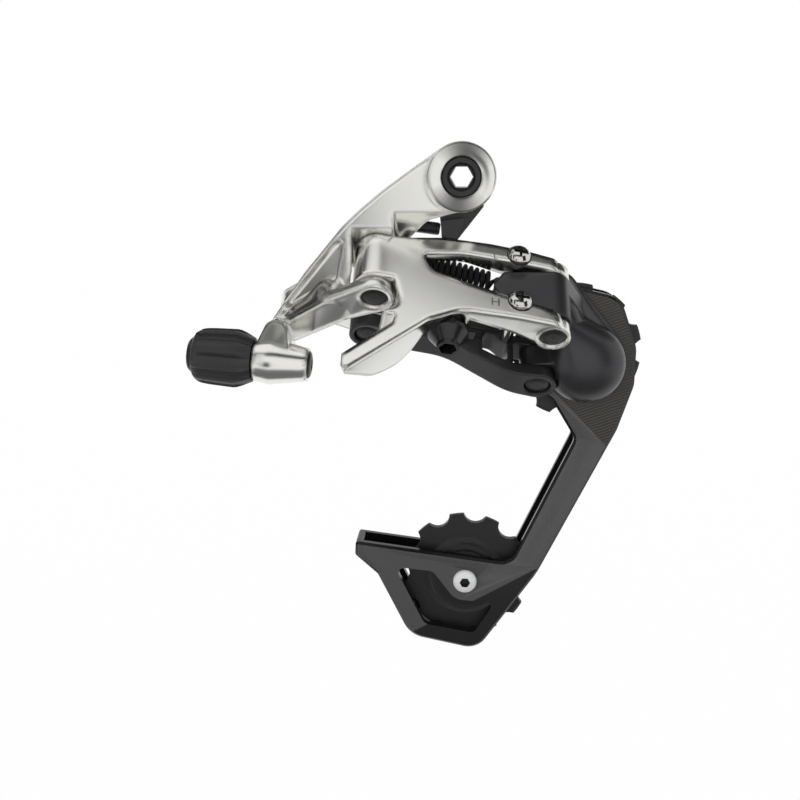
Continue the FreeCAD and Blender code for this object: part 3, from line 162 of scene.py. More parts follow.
def card(name, place, width, height, paint, target, seen=False):
    """A flat rectangle of the set, turned to face target. The camera doesn't see it unless seen is true."""
    mesh = bpy.data.meshes.new(name)
    form = bmesh.new()
    bmesh.ops.create_grid(form, x_segments=1, y_segments=1, size=0.5)
    bmesh.ops.scale(form, vec=(width, height, 1), verts=form.verts)
    form.to_mesh(mesh)
    form.free()
    mesh.materials.append(paint)
    piece = bpy.data.objects.new(name, mesh)
    piece.location = place
    piece.rotation_euler = facing(place, target)
    piece.visible_camera = seen
    scene.collection.objects.link(piece)
    return piece


black_card = plain_paint("card_black", 0.02, 0.9)
grey_card = plain_paint("card_grey", 0.25, 0.9)
for name, place, width, height in (
    ("card_over_back", (0.05, 0.27, 0.40), 1.3, 0.60),
    ("card_left", (-0.42, 0.02, 0.04), 0.5, 0.45),
    ("card_right", (0.50, -0.35, 0.10), 0.3, 0.6),
    ("card_front_left", (-0.42, -0.50, 0.20), 0.16, 0.7),
    ("card_front_low", (-0.05, -0.75, -0.52), 1.2, 0.24),
    ("card_over_front", (0.10, -0.28, 0.28), 0.6, 0.16),
):
    card(name, place, width, height, black_card, middle)
card("card_behind", (-0.19, -0.62, -0.12), 0.20, 0.26, black_card, link_at)
card("card_under", (0.05, -0.17, -0.225), 0.6, 0.30, grey_card, (0.05, -0.17, 0))

# %% [markdown]
# The walls and the floor have to look plain white, but that much light from all round would wash the object
# out. The light path tells a shader what kind of ray asks. A ray from the camera, from a mirror or through
# glass gets white, and any other ray gets the dimmer sky or the floor's paint. The floor holds back a small
# share of its white, and that share shows the object's shadow.

# %% Whiten the room and the floor
ROOM_COLOUR = (0.96, 0.98, 1.0, 1)
ROOM_STRENGTH = 0.8
FLOOR_SIZE = 6.0
FLOOR_DROP = 0.16
FLOOR_WHITE = 0.985


def maths(tree, operation, *values):
    """Adds a Math node that works on the given sockets or numbers, and returns its result."""
    node = tree.nodes.new("ShaderNodeMath")
    node.operation = operation
    for socket, value in zip(node.inputs, values):
        if isinstance(value, bpy.types.NodeSocket):
            tree.links.new(value, socket)
        else:
            socket.default_value = value
    return node.outputs[0]


def white_to_camera(tree, output, surface, white_shader, share=1.0):
    """Shows plain white to the camera and in reflections, and the given shader to everything else."""
    path = tree.nodes.new("ShaderNodeLightPath")
    seen = maths(tree, "MAXIMUM", path.outputs["Is Camera Ray"], path.outputs["Is Glossy Ray"])
    seen = maths(tree, "MAXIMUM", seen, path.outputs["Is Transmission Ray"])
    white = tree.nodes.new(white_shader)
    white.inputs["Color"].default_value = (1, 1, 1, 1)
    white.inputs["Strength"].default_value = 1.0
    mix = tree.nodes.new("ShaderNodeMixShader")
    tree.links.new(maths(tree, "MULTIPLY", seen, share), mix.inputs[0])
    tree.links.new(surface.outputs[0], mix.inputs[1])
    tree.links.new(white.outputs[0], mix.inputs[2])
    tree.links.new(mix.outputs[0], output.inputs["Surface"])


world = bpy.data.worlds.new("studio")
scene.world = world
world.use_nodes = True
sky = world.node_tree.nodes["Background"]
sky.inputs["Color"].default_value = ROOM_COLOUR
sky.inputs["Strength"].default_value = ROOM_STRENGTH
white_to_camera(world.node_tree, world.node_tree.nodes["World Output"], sky, "ShaderNodeBackground")

floor_paint = plain_paint("floor_paint", 0.9, 0.8)
floor_tree = floor_paint.node_tree
white_to_camera(floor_tree, floor_tree.nodes["Material Output"], floor_tree.nodes["Principled BSDF"],
                "ShaderNodeEmission", share=FLOOR_WHITE)
floor_at = cad_box[0][2] - FLOOR_DROP
floor = card("floor", (0, 0, floor_at), FLOOR_SIZE, FLOOR_SIZE, floor_paint, (0, 0, floor_at - 1), seen=True)
print("floor at", round(floor.location.z, 3))

# %% [markdown]
# No real surface has one even colour and polish. A broad noise makes each finish's colour and roughness
# drift a little, and a fine one gives it a relief. All of them read Object coordinates, so a pattern stays
# on its piece when the piece moves. Four helpers each add one step of such a finish.

# %% Write the steps of a finish
RELIEF_DEPTH = 0.1 * MM


def noise(paint, scale, detail):
    """Adds a noise on Object coordinates, and returns its value."""
    tree = paint.node_tree
    place = tree.nodes.new("ShaderNodeTexCoord")
    cloud = tree.nodes.new("ShaderNodeTexNoise")
    cloud.inputs["Scale"].default_value = scale
    cloud.inputs["Detail"].default_value = detail
    tree.links.new(place.outputs["Object"], cloud.inputs["Vector"])
    return cloud.outputs["Fac"]


def spread(paint, value, low=0.0, high=1.0, new_low=0.0, new_high=1.0):
    """Carries a value from the range low to high over to a new range, and returns it."""
    tree = paint.node_tree
    node = tree.nodes.new("ShaderNodeMapRange")
    ends = (("From Min", low), ("From Max", high), ("To Min", new_low), ("To Max", new_high))
    for name, end in ends:
        node.inputs[name].default_value = end
    tree.links.new(value, node.inputs["Value"])
    return node.outputs["Result"]


def colour_between(paint, share, first, second):
    """Gives the paint a colour that goes from first to second as share goes from 0 to 1."""
    tree = paint.node_tree
    tone = tree.nodes.new("ShaderNodeMix")
    tone.data_type = "RGBA"
    tone.inputs["A"].default_value = (*first, 1)
    tone.inputs["B"].default_value = (*second, 1)
    tree.links.new(share, tone.inputs["Factor"])
    tree.links.new(tone.outputs["Result"], tree.nodes["Principled BSDF"].inputs["Base Color"])


def raised(paint, height, strength):
    """Gives the paint a relief of the given height, and returns its Bump node."""
    tree = paint.node_tree
    relief = tree.nodes.new("ShaderNodeBump")
    relief.inputs["Strength"].default_value = strength
    relief.inputs["Distance"].default_value = RELIEF_DEPTH
    tree.links.new(height, relief.inputs["Height"])
    tree.links.new(relief.outputs["Normal"], tree.nodes["Principled BSDF"].inputs["Normal"])
    return relief


print("a relief is at most", RELIEF_DEPTH / MM, "mm deep")

# %% [markdown]
# One recipe joins the steps, and each finish then says only what is its own. On a forging the polish also
# runs softly over the edges. More rounding in the mesh would eat the narrow faces away, so the recipe's flow
# rounds only the shading, with a Bevel node.

# %% Write the recipe
CLOUD_SCALE = 60.0
CLOUD_DETAIL = 3.0
GRAIN_DETAIL = 2.0
SMOOTHEST = 0.02
COAT_ROUGHNESS = 0.08
FLOW_SAMPLES = 8
finishes = {}


def finish(name, colour, metallic, roughness, drift=0.06, grain=1500.0, bump=0.02, coat=0.0, tint=0.05,
           flow=0.0, gloss=0.5):
    """A material with drifting colour and roughness and a fine relief.

    Drift and tint say how far the roughness and the colour wander, grain and bump how fine and how strong the
    relief is. Flow is the radius in millimetres over which the shading runs round each edge."""
    paint = bpy.data.materials.new(name)
    paint.use_nodes = True
    links = paint.node_tree.links
    shader = paint.node_tree.nodes["Principled BSDF"]
    shader.inputs["Metallic"].default_value = metallic
    shader.inputs["Specular IOR Level"].default_value = gloss
    shader.inputs["Coat Weight"].default_value = coat
    shader.inputs["Coat Roughness"].default_value = COAT_ROUGHNESS
    cloud = noise(paint, CLOUD_SCALE, CLOUD_DETAIL)
    darker = [value * (1 - tint) for value in colour]
    lighter = [min(1, value * (1 + tint)) for value in colour]
    colour_between(paint, cloud, darker, lighter)
    rough = spread(paint, cloud, new_low=max(SMOOTHEST, roughness - drift), new_high=roughness + drift)
    links.new(rough, shader.inputs["Roughness"])
    relief = raised(paint, noise(paint, grain, GRAIN_DETAIL), bump)
    if flow:
        rounding = paint.node_tree.nodes.new("ShaderNodeBevel")
        rounding.samples = FLOW_SAMPLES
        rounding.inputs["Radius"].default_value = flow * MM
        links.new(rounding.outputs["Normal"], relief.inputs["Normal"])
    finishes[name] = paint
    return paint


print("no finish is smoother than", SMOOTHEST)

# %% [markdown]
# Most of what shows is one silver, one charcoal and several blacks, which differ more in polish than in
# colour. Even a black part gets a colour of its own, because no real one is quite black. The bronze, the
# bright steels and the ceramic belong to small pieces.

# %% Mix the finishes
# The metals.
finish("satin_alloy", (0.81, 0.805, 0.77), 1.0, 0.20, drift=0.04, flow=2.2)
finish("pocket_alloy", (0.34, 0.34, 0.315), 1.0, 0.32, drift=0.05, bump=0.05, flow=1.8)
finish("charcoal_alloy", (0.060, 0.060, 0.063), 0.75, 0.36, bump=0.08, grain=2500.0, flow=1.0)
finish("bare_alloy", (0.90, 0.90, 0.89), 0.1, 0.34, tint=0.01)
finish("bright_steel", (0.62, 0.61, 0.59), 1.0, 0.12, drift=0.04)
finish("bearing_steel", (0.60, 0.60, 0.61), 1.0, 0.18)
finish("bush_bronze", (0.55, 0.40, 0.20), 1.0, 0.30)

# The blackened metals, whose colour is a coating's.
finish("dark_pin", (0.012, 0.012, 0.013), 0.0, 0.36, bump=0.05)
finish("dark_steel", (0.008, 0.008, 0.009), 0.0, 0.26, bump=0.03)
finish("spring_black", (0.005, 0.005, 0.006), 0.0, 0.50, gloss=0.2)

# The rest.
finish("ceramic", (0.88, 0.87, 0.82), 0.0, 0.12, drift=0.03)
finish("carbon_plate", (0.006, 0.006, 0.006), 0.0, 0.24, coat=0.05, gloss=0.25)
finish("cage_satin", (0.095, 0.094, 0.093), 0.2, 0.42, bump=0.08, coat=0.1)
# The facet's darker colour is painted shade.
finish("cage_facet_painted_shade", (0.010, 0.0095, 0.009), 0.0, 0.34, coat=0.2)
finish("pulley_polymer", (0.014, 0.014, 0.015), 0.0, 0.46, bump=0.08)
finish("black_polymer", (0.008, 0.008, 0.009), 0.0, 0.38)
finish("grip_rubber", (0.022, 0.022, 0.023), 0.0, 0.44, bump=0.12)
print("finishes:", len(finishes))

# %% [markdown]
# The triangle at the head of the cage has fine straight ribs, which look like stripes from a distance. There
# are too many to model, so a sine wave across them gives their relief, and in their colour it paints the light
# and shade on the ribs' sides.

# %% Draw the cage's ribs
RIB_PITCH = 0.9 * MM
RIB_START = 0.2
RIB_RELIEF = 0.6
RIB_WAY = Vector((-0.34, 0, 0.94)).normalized()
# The ribs' light and shade are painted in the colour.
RIB_PAINTED_SHADE = (0.014, 0.012, 0.010)
RIB_PAINTED_LIGHT = (0.075, 0.064, 0.052)


def add_ribs(paint, way, pitch, dark, light):
    """Draws fine straight ribs across the direction way, with a relief, and paints the light and shade of the
    ribs' sides into the colour.
    """
    tree = paint.node_tree
    place = tree.nodes.new("ShaderNodeTexCoord")
    along = tree.nodes.new("ShaderNodeVectorMath")
    along.operation = "DOT_PRODUCT"
    along.inputs[1].default_value = way * (2 * math.pi / pitch)
    tree.links.new(place.outputs["Object"], along.inputs[0])
    height = spread(paint, maths(tree, "SINE", along.outputs["Value"]), low=RIB_START)
    colour_between(paint, height, dark, light)
    raised(paint, height, RIB_RELIEF)


add_ribs(finish("cage_ribs", RIB_PAINTED_SHADE, 0.0, 0.38, coat=0.2), RIB_WAY, RIB_PITCH, RIB_PAINTED_SHADE, RIB_PAINTED_LIGHT)
print("ribs every", round(RIB_PITCH / MM, 2), "mm")

# %% [markdown]
# Each node of the frame takes the finish of its own slot. The barrel and the housing's seat are bare alloy
# in the record, but they are blackened on the real one.

# %% Paint the frame's nodes


def painted(node, paint):
    """Gives a frame node one finish."""
    materials = frame["nodes"][node].data.materials
    materials.clear()
    materials.append(finishes[paint])


slot_of = {entry["node"]: entry["material_slot"] for entry in frame["record"]["subparts"]}
for node, paint in slot_of.items():
    painted(node, paint)
for node in ("adjuster_barrel", "housing_seat"):
    painted(node, "dark_pin")
print("painted:", len(slot_of))

# %% [markdown]
# Forged and machined parts have no knife edges: a small radius runs along every edge and catches the light.
# The frame's meshes are loose triangles with sharp edges, so a copy is merged, its flat areas are joined
# into single faces, and a Bevel modifier rounds what is left. The copy stands for the frame's node.

# %% Round the edges of the forged parts
EDGE_ANGLE = 30
EDGE_SEGMENTS = 2
body_nodes = frame["record"]["behaviour"]["bodies"]
body_of_node = {node: body for body, nodes in body_nodes.items() for node in nodes}


def show(name, form, body, paint, stands_for=(), smooth=EDGE_ANGLE):
    """Makes a bmesh into a piece that rides on a body, and stands for the named frame nodes."""
    mesh = bpy.data.meshes.new(name)
    form.to_mesh(mesh)
    form.free()
    mesh.materials.append(finishes[paint])
    mesh.shade_smooth()
    mesh.set_sharp_from_angle(angle=math.radians(smooth))
    piece = bpy.data.objects.new(name, mesh)
    scene.collection.objects.link(piece)
    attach(piece, body)
    if stands_for:
        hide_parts(*stands_for)
    return piece


def merged(node):
    """A bmesh copy of a frame node with its doubles merged and its flat areas joined."""
    form = bmesh.new()
    form.from_mesh(frame["nodes"][node].data)
    bmesh.ops.remove_doubles(form, verts=form.verts, dist=0.01 * MM)
    bmesh.ops.dissolve_limit(form, angle_limit=math.radians(1), verts=form.verts, edges=form.edges)
    return form


def softened(node, radius):
    """A copy of a frame node with its edges rounded by radius."""
    piece = show(node + "_soft", merged(node), body_of_node[node], slot_of[node], [node])
    edge = piece.modifiers.new("edge", "BEVEL")
    edge.width = radius
    edge.segments = EDGE_SEGMENTS
    edge.limit_method = "ANGLE"
    edge.angle_limit = math.radians(EDGE_ANGLE)
    edge.miter_outer = "MITER_ARC"
    edge.harden_normals = True
    return piece


soft = {}
for node, radius in (("b_knuckle", 0.4), ("outer_link", 0.4), ("inner_link", 0.5), ("p_knuckle", 0.4)):
    soft[node] = softened(node, radius * MM)
    print(soft[node].name, len(soft[node].data.polygons), "faces")

# %% [markdown]
# The floor of the triangular pocket in the knuckle's arm is darker. A second material on the floor's faces is
# enough, because the pocket's walls already make a clean border.

# %% Darken the pocket's floor
ARM_ABOVE = -30 * MM
ARM_BEHIND = -15 * MM
POCKET_BEHIND = -34 * MM
POCKET_DEPTHS = (3 * MM, 8 * MM)
POCKET_FLATNESS = 0.999


def repaint(piece, paint, chosen):
    """Gives a second finish to the faces that chosen picks, and returns how many they are."""
    piece.data.materials.append(finishes[paint])
    faces = [face for face in piece.data.polygons if chosen(face)]
    for face in faces:
        face.material_index = 1
    return len(faces)


arm_points = [vertex.co for vertex in soft["b_knuckle"].data.vertices
              if vertex.co.z > ARM_ABOVE and vertex.co.x < ARM_BEHIND]
arm_face = min(point.y for point in arm_points)


def on_pocket_floor(face):
    """Whether a face lies flat at the bottom of the pocket."""
    flat = face.normal.y < -POCKET_FLATNESS
    deep = POCKET_DEPTHS[0] < face.center.y - arm_face < POCKET_DEPTHS[1]
    return flat and deep and face.center.x < POCKET_BEHIND


print("pocket faces:", repaint(soft["b_knuckle"], "pocket_alloy", on_pocket_floor))

# %% [markdown]
# The cage's outer plate is one moulding with three finishes on its flat face: a satin arm, a ribbed triangle
# below the knuckle and a darker facet at the foot. The facet is left flat, and its darker colour is painted
# shade for a face that turns away from the light. Planes cut the face where one finish meets the next, so the
# borders are real edges. The bevels round it stay glossy.

# %% Make the cage's facets
CAGE_FINISHES = ("carbon_plate", "cage_satin", "cage_facet_painted_shade", "cage_ribs")
CAGE_FLATNESS = 0.99
MERGE = 0.001 * MM


def cage_point(x, z):
    """A place on the cage's face, in millimetres from its pivot."""
    return cage_at + Vector((x, 0, z)) * MM


def cut_across(form, point, normal):
    """Cuts the faces of a bmesh along a plane, and keeps both sides."""
    everything = list(form.verts) + list(form.edges) + list(form.faces)
    bmesh.ops.bisect_plane(form, geom=everything, plane_co=point, plane_no=normal, dist=MERGE)


head_cut = (cage_point(-7.2, -12.0), Vector((0.715, 0, 0.699)))
foot_cut = (cage_point(-29.6, -80.7), Vector((0.503, 0, -0.864)))
heel_cut = (cage_point(-49.4, -90.3), Vector((0.677, 0, -0.736)))
cage_cuts = (head_cut, foot_cut, heel_cut)


def cage_finish(face):
    """The finish of one face of the plate, by the planes that it lies beyond."""
    centre = face.calc_center_median()
    past_head, past_foot, past_heel = ((centre - point).dot(normal) > 0 for point, normal in cage_cuts)
    if face.normal.y > -CAGE_FLATNESS:
        return "carbon_plate"
    if past_head:
        return "cage_ribs"
    # Past both cuts lies the facet with the painted shade.
    if past_foot and past_heel:
        return "cage_facet_painted_shade"
    return "cage_satin"


form = merged("cage_outer_plate")
for point, normal in cage_cuts:
    cut_across(form, point, normal)
for face in form.faces:
    face.material_index = CAGE_FINISHES.index(cage_finish(face))
cage_face = show("cage_face", form, body_of_node["cage_outer_plate"], "carbon_plate", ["cage_outer_plate"])
for name in CAGE_FINISHES[1:]:
    cage_face.data.materials.append(finishes[name])
print(cage_face.name, len(cage_face.data.polygons), "faces")

# %% [markdown]
# Many pieces are round about a line: the boss's face, the cable's cap, the thread, the gaps round the screws
# and the grip. They could be put together from cylinders and cones, but one profile spun round its line makes
# each a single closed mesh. Two helpers measure the frame's nodes about a line, and a third spins a profile.

# %% Measure and turn about a line


def beside(point, at, way):
    """How far a point lies along a line, and its offset from the line."""
    offset = point - at
    height = offset.dot(way)
    return height, offset - way * height


def span_along(node, at, way):
    """The lowest and highest place of a node along a line, and its widest radius about it."""
    places = [beside(vertex.co, at, way) for vertex in frame["nodes"][node].data.vertices]
    heights = [height for height, _ in places]
    return min(heights), max(heights), max(away.length for _, away in places)


def turned_piece(profile, at, way, steps):
    """A bmesh of a closed profile of (radius, place along way) points, spun round a line."""
    form = bmesh.new()
    side = way.orthogonal().normalized()
    ring = [form.verts.new(at + side * radius + way * height) for radius, height in profile]
    edges = [form.edges.new(pair) for pair in zip(ring, ring[1:] + ring[:1])]
    bmesh.ops.spin(form, geom=ring + edges, cent=at, axis=way, angle=2 * math.pi, steps=steps, use_merge=True)
    bmesh.ops.remove_doubles(form, verts=form.verts, dist=MERGE)
    bmesh.ops.recalc_face_normals(form, faces=form.faces)
    return form


hanger_at, hanger_way = pivot("b_pivot")
_, _, bolt_radius = span_along("hanger_bolt", hanger_at, hanger_way)
print("hanger bolt's radius", round(bolt_radius / MM, 2), "mm")

# %% [markdown]
# The boss round the hanger bolt ends in a turned face. Fine rings left by the lathe spread each reflection
# across them, which draws two bright and two dark sectors round the bolt. Rings so fine aren't worth
# modelling, so the sectors are a painted reflection in the colour, as a wave of the angle round the bolt.
# The bolt's line is the y axis.

# %% Paint the turned face's reflection sectors
# The sectors' light and dark are painted reflection in the colour.
REFLECTION_SECTOR_DARK = (0.16, 0.16, 0.155)
REFLECTION_SECTOR_LIGHT = (0.80, 0.795, 0.76)
SECTOR_LEAN = math.radians(80)
SECTOR_START = -0.6


def paint_reflection_sectors(paint, dark, light, lean):
    """Paints reflection sectors into a turned face's colour round its object's y axis, darkest along the direction
    lean.
    """
    tree = paint.node_tree
    place = tree.nodes.new("ShaderNodeTexCoord")
    parts = tree.nodes.new("ShaderNodeSeparateXYZ")
    tree.links.new(place.outputs["Object"], parts.inputs[0])
    angle = maths(tree, "ARCTAN2", parts.outputs["Z"], parts.outputs["X"])
    wave = maths(tree, "COSINE", maths(tree, "MULTIPLY_ADD", angle, 2.0, -2.0 * lean))
    colour_between(paint, spread(paint, wave, low=SECTOR_START), light, dark)


turned_alloy_painted_reflection = finish("turned_alloy_painted_reflection", REFLECTION_SECTOR_LIGHT, 1.0, 0.24, drift=0.02)
paint_reflection_sectors(turned_alloy_painted_reflection, REFLECTION_SECTOR_DARK, REFLECTION_SECTOR_LIGHT, SECTOR_LEAN)
print("finishes:", len(finishes))

# %% [markdown]
# The face itself is a very flat cone with a small rounded rim. It stands on the forged boss, reaches a
# little way into it so that no gap shows, and leaves a thin ring of clearance round the bolt's head.

# %% Make the boss's face
BOSS_RIM = 9.85 * MM
BOLT_CLEARANCE = 0.03 * MM
BOSS_ROOT = 0.3
BOSS_STEPS = 96

bore = bolt_radius + BOLT_CLEARANCE
boss_places = [beside(vertex.co, hanger_at, hanger_way)
               for vertex in frame["nodes"]["b_knuckle"].data.vertices]
face_level = min(height for height, away in boss_places if away.length < BOSS_RIM)


def face_point(radius, proud):
    """A point of the profile that stands proud of the forged boss by so many millimetres."""
    return radius, face_level - proud * MM


form = turned_piece([
    face_point(bore, -BOSS_ROOT), face_point(bore, 0.05), face_point(bore + 0.25 * MM, 0.20),
    face_point(BOSS_RIM - 0.75 * MM, 0.50), face_point(BOSS_RIM - 0.40 * MM, 0.42),
    face_point(BOSS_RIM - 0.15 * MM, 0.20), face_point(BOSS_RIM - 0.05 * MM, -BOSS_ROOT),
], hanger_at, hanger_way, BOSS_STEPS)
boss_face = show("boss_face", form, body_of_node["b_knuckle"], "turned_alloy_painted_reflection")
print("boss face at", round(face_level / MM, 2), "mm with", len(boss_face.data.polygons), "faces")

# %% [markdown]
# A closed cap ends the cable stop at its front. It has a shallow dish in the middle of a domed face, so its
# profile starts on the line in the dish, steps forward to the dish's rim, falls away to the cap's side and
# comes back to the line at the rear.

# %% Make the cable's cap
CAP_RECESS = 1.2 * MM
CAP_STEPS = 48

turn_at, turn_way = pivot("adjuster_turn")
cap_front, _, cap_radius = span_along("cable_end_cap", turn_at, turn_way)
mouth = cap_front + CAP_RECESS
form = turned_piece([
    (0.0, mouth + 0.1 * MM), (0.4 * cap_radius, mouth + 0.1 * MM), (0.46 * cap_radius, mouth - 0.15 * MM),
    (0.7 * cap_radius, mouth - 0.05 * MM), (0.9 * cap_radius, mouth + 0.2 * MM),
    (cap_radius, mouth + 0.6 * MM), (cap_radius, mouth + 1.6 * MM), (0.0, mouth + 1.6 * MM),
], turn_at, turn_way, CAP_STEPS)
cap = show("cable_cap", form, body_of_node["cable_end_cap"], "black_polymer", ["cable_end_cap"])
print(cap.name, len(cap.data.polygons), "faces")

# %% [markdown]
# The tension screw slides along its own line, and a slide has no point in the frame. So the line is found
# from the screw's shape: it runs through the middle of the screw, seen along its direction. The tip is the
# thinner end.

# %% Measure the tension screw


def line_through(node, way):
    """A point on the line along way through the middle of a node."""
    side_way = way.orthogonal().normalized()
    point = Vector()
    for across in (side_way, way.cross(side_way)):
        reach = [vertex.co.dot(across) for vertex in frame["nodes"][node].data.vertices]
        point += across * (min(reach) + max(reach)) / 2
    return point


_, screw_way = pivot("b_tension_travel")
screw_at = line_through("b_tension_screw", screw_way)
screw_low, screw_high, _ = span_along("b_tension_screw", screw_at, screw_way)
screw_places = [beside(vertex.co, screw_at, screw_way)
                for vertex in frame["nodes"]["b_tension_screw"].data.vertices]


def radius_near(level):
    """The screw's widest radius within a millimetre of a place along its line."""
    return max(away.length for height, away in screw_places if abs(height - level) < 1.0 * MM)


tip_is_low = radius_near(screw_low) < radius_near(screw_high)
tip_end, inward = (screw_low, 1) if tip_is_low else (screw_high, -1)
shank = radius_near(tip_end)
print("shank's radius", round(shank / MM, 2), "mm")

# %% [markdown]
# The tip shows its thread. A true helix looks the same as plain rings at this size, and rings can be turned
# in one spin: the profile rises and falls once for each turn of the thread. The frame's screw is plain, so
# its shank is first thinned, and the ridges reach only to its old radius.

# %% Cut the tension screw's thread
THREAD_PITCH = 0.8 * MM
THREAD_TURNS = 14
THREAD_START = 0.7 * MM
THREAD_STEPS = 32
RIDGE_DEPTH = 0.25 * MM
ROOT_DEPTH = 0.4 * MM
SHANK_CUT = 0.2 * MM
SAME_RADIUS = 0.02 * MM

form = merged("b_tension_screw")
for vertex in form.verts:
    _, away = beside(vertex.co, screw_at, screw_way)
    if abs(away.length - shank) < SAME_RADIUS:
        vertex.co -= away.normalized() * SHANK_CUT
show("tension_core", form, body_of_node["b_tension_screw"], "dark_steel", ["b_tension_screw"])

profile = [(shank - ROOT_DEPTH, tip_end + inward * THREAD_START)]
for turn in range(THREAD_TURNS):
    start = tip_end + inward * (THREAD_START + turn * THREAD_PITCH)
    for radius, share in ((shank - RIDGE_DEPTH, 0.05), (shank, 0.5), (shank - RIDGE_DEPTH, 0.95)):
        profile.append((radius, start + inward * share * THREAD_PITCH))
profile.append((shank - ROOT_DEPTH, profile[-1][1]))
form = turned_piece(profile, screw_at, screw_way, THREAD_STEPS)
thread = show("tension_thread", form, body_of_node["b_tension_screw"], "dark_steel")
print(thread.name, len(thread.data.polygons), "faces")

# %% [markdown]
# The return spring is wound closely, with its turns almost touching. Its hooks sit on posts of the outer link
# and the P-knuckle, so the frame's hooks are kept where they are: two planes cut the frame's spring, and what
# lies between them is taken out.

# %% Keep the return spring's hooks
HOOK_REACH = 2.85 * MM
HOOK_SHARE = 1.8

link_way = front_at - link_at
link_way = (link_way - pin_way * link_way.dot(pin_way)).normalized()
form = merged("return_spring")
spring_places = [vertex.co.dot(link_way) for vertex in form.verts]


def hook_middle(end, sense):
    """The mean place of the spring's points near one of its ends, looking from there in one sense."""
    near = [vertex.co for vertex in form.verts
            if 0 <= sense * (vertex.co.dot(link_way) - end) < HOOK_SHARE * HOOK_REACH]
    return sum(near, Vector()) / len(near)


rear_hook = hook_middle(min(spring_places), 1)
front_hook = hook_middle(max(spring_places), -1)
coil_way = (front_hook - rear_hook).normalized()
coil_start = rear_hook + coil_way * HOOK_REACH
coil_length = (front_hook - rear_hook).length - 2 * HOOK_REACH
cut_across(form, coil_start, coil_way)
cut_across(form, coil_start + coil_way * coil_length, -coil_way)
between = [face for face in form.faces
           if 0 < (face.calc_center_median() - coil_start).dot(coil_way) < coil_length]
bmesh.ops.delete(form, geom=between, context="FACES")
spring_body = body_of_node["return_spring"]
show("spring_hooks", form, spring_body, "spring_black", ["return_spring"])
print("coil", round(coil_length / MM, 1), "mm long")

# %% [markdown]
# The coil could be a curve with a thickness, but the spin operator makes a mesh at once: a small circle, the
# wire's section, is spun round the spring's line while each step also moves it a little way along.

# %% Wind the coil
COIL_TURNS = 12
COIL_STEPS = 24
COIL_RADIUS = 3.0 * MM
WIRE_RADIUS = 0.62 * MM
WIRE_SIDES = 10
WIRE_SMOOTH = 60

side_way = pin_way.cross(coil_way).normalized()
section = Matrix((side_way, coil_way, side_way.cross(coil_way))).transposed().to_4x4()
section_at = Matrix.Translation(coil_start + side_way * COIL_RADIUS)
form = bmesh.new()
wire = bmesh.ops.create_circle(form, segments=WIRE_SIDES, radius=WIRE_RADIUS, matrix=section_at @ section)
steps = COIL_TURNS * COIL_STEPS
bmesh.ops.spin(form, geom=wire["verts"] + list(form.edges), cent=coil_start, axis=coil_way,
               dvec=coil_way * coil_length / steps, angle=2 * math.pi * COIL_TURNS, steps=steps,
               use_merge=False)
bmesh.ops.recalc_face_normals(form, faces=form.faces)
coil = show("spring_coil", form, spring_body, "spring_black", smooth=WIRE_SMOOTH)
print(coil.name, len(coil.data.polygons), "faces")

# %% [markdown]
# The limit screws have plated domes. The cross in each head is dark inside with shade, and a dark gap in
# shade runs round the head where it enters the link. Both are painted shade. The cross is already in the
# frame's shape, so its faces only need a dark finish. The gap's shade is a thin flat dark ring just outside
# the head.

# %% Finish the limit screws
HEAD_EDGE = 0.95
CROSS_REACH = 0.8
CROSS_FLOOR_REACH = 0.4
CROSS_DEPTH = 0.45 * MM
WALL_LEAN = 0.5
GAP_CLEARANCE = 0.03 * MM
GAP_REACH = 0.32 * MM
GAP_PROUD = 0.05 * MM
GAP_DEPTH = 0.3 * MM
GAP_STEPS = 48


def plated_head(node):
    """Makes a limit screw's dome with its cross painted dark as shade, and a dark ring of painted shade in the gap
    round its head.
    """
    _, way = pivot(node.replace("_screw", "_travel"))
    at = line_through(node, way)
    top, _, head = span_along(node, at, way)
    form = merged(node)
    places = [beside(vertex.co, at, way) for vertex in form.verts]
    seat = max(height for height, away in places if away.length > HEAD_EDGE * head)

    def in_cross(face):
        """Whether a face is a wall or the floor of the cross."""
        height, away = beside(face.center, at, way)
        wall = abs(face.normal.dot(way)) < WALL_LEAN and away.length < CROSS_REACH * head
        bottom = height - top > CROSS_DEPTH and away.length < CROSS_FLOOR_REACH * head
        return height < seat and (wall or bottom)

    dome = show(node + "_dome", form, body_of_node[node], "bright_steel", [node], smooth=40)
    # The cross's faces are painted dark as shade.
    print(dome.name, "socket faces:", repaint(dome, "dark_pin", in_cross))
    inside, outside = head + GAP_CLEARANCE, head + GAP_REACH
    # A dark ring stands for the shade in the gap round the head.
    gap_shade = turned_piece([
        (inside, seat - GAP_PROUD), (outside, seat - GAP_PROUD), (outside, seat + GAP_DEPTH),
        (inside, seat + GAP_DEPTH),
    ], at, way, GAP_STEPS)
    show(node + "_gap_shade", gap_shade, "outer_link", "dark_pin")


for node in ("h_limit_screw", "l_limit_screw"):
    plated_head(node)

# %% [markdown]
# Two letters cut in the outer link tell the limit screws apart: H for the high gear's and L for the low
# gear's. Each is a text turned into a mesh and laid on the link's face behind its screw. Cutting them in
# would need a boolean for a groove too shallow to see, so they are thin dark marks on the face.

# %% Draw the two letters
LETTER_SHIFT = 6.8 * MM
LETTER_THICKNESS = 0.03 * MM
LETTER_LIFT = 0.01 * MM
HEAD_HEIGHT = 1.5 * MM

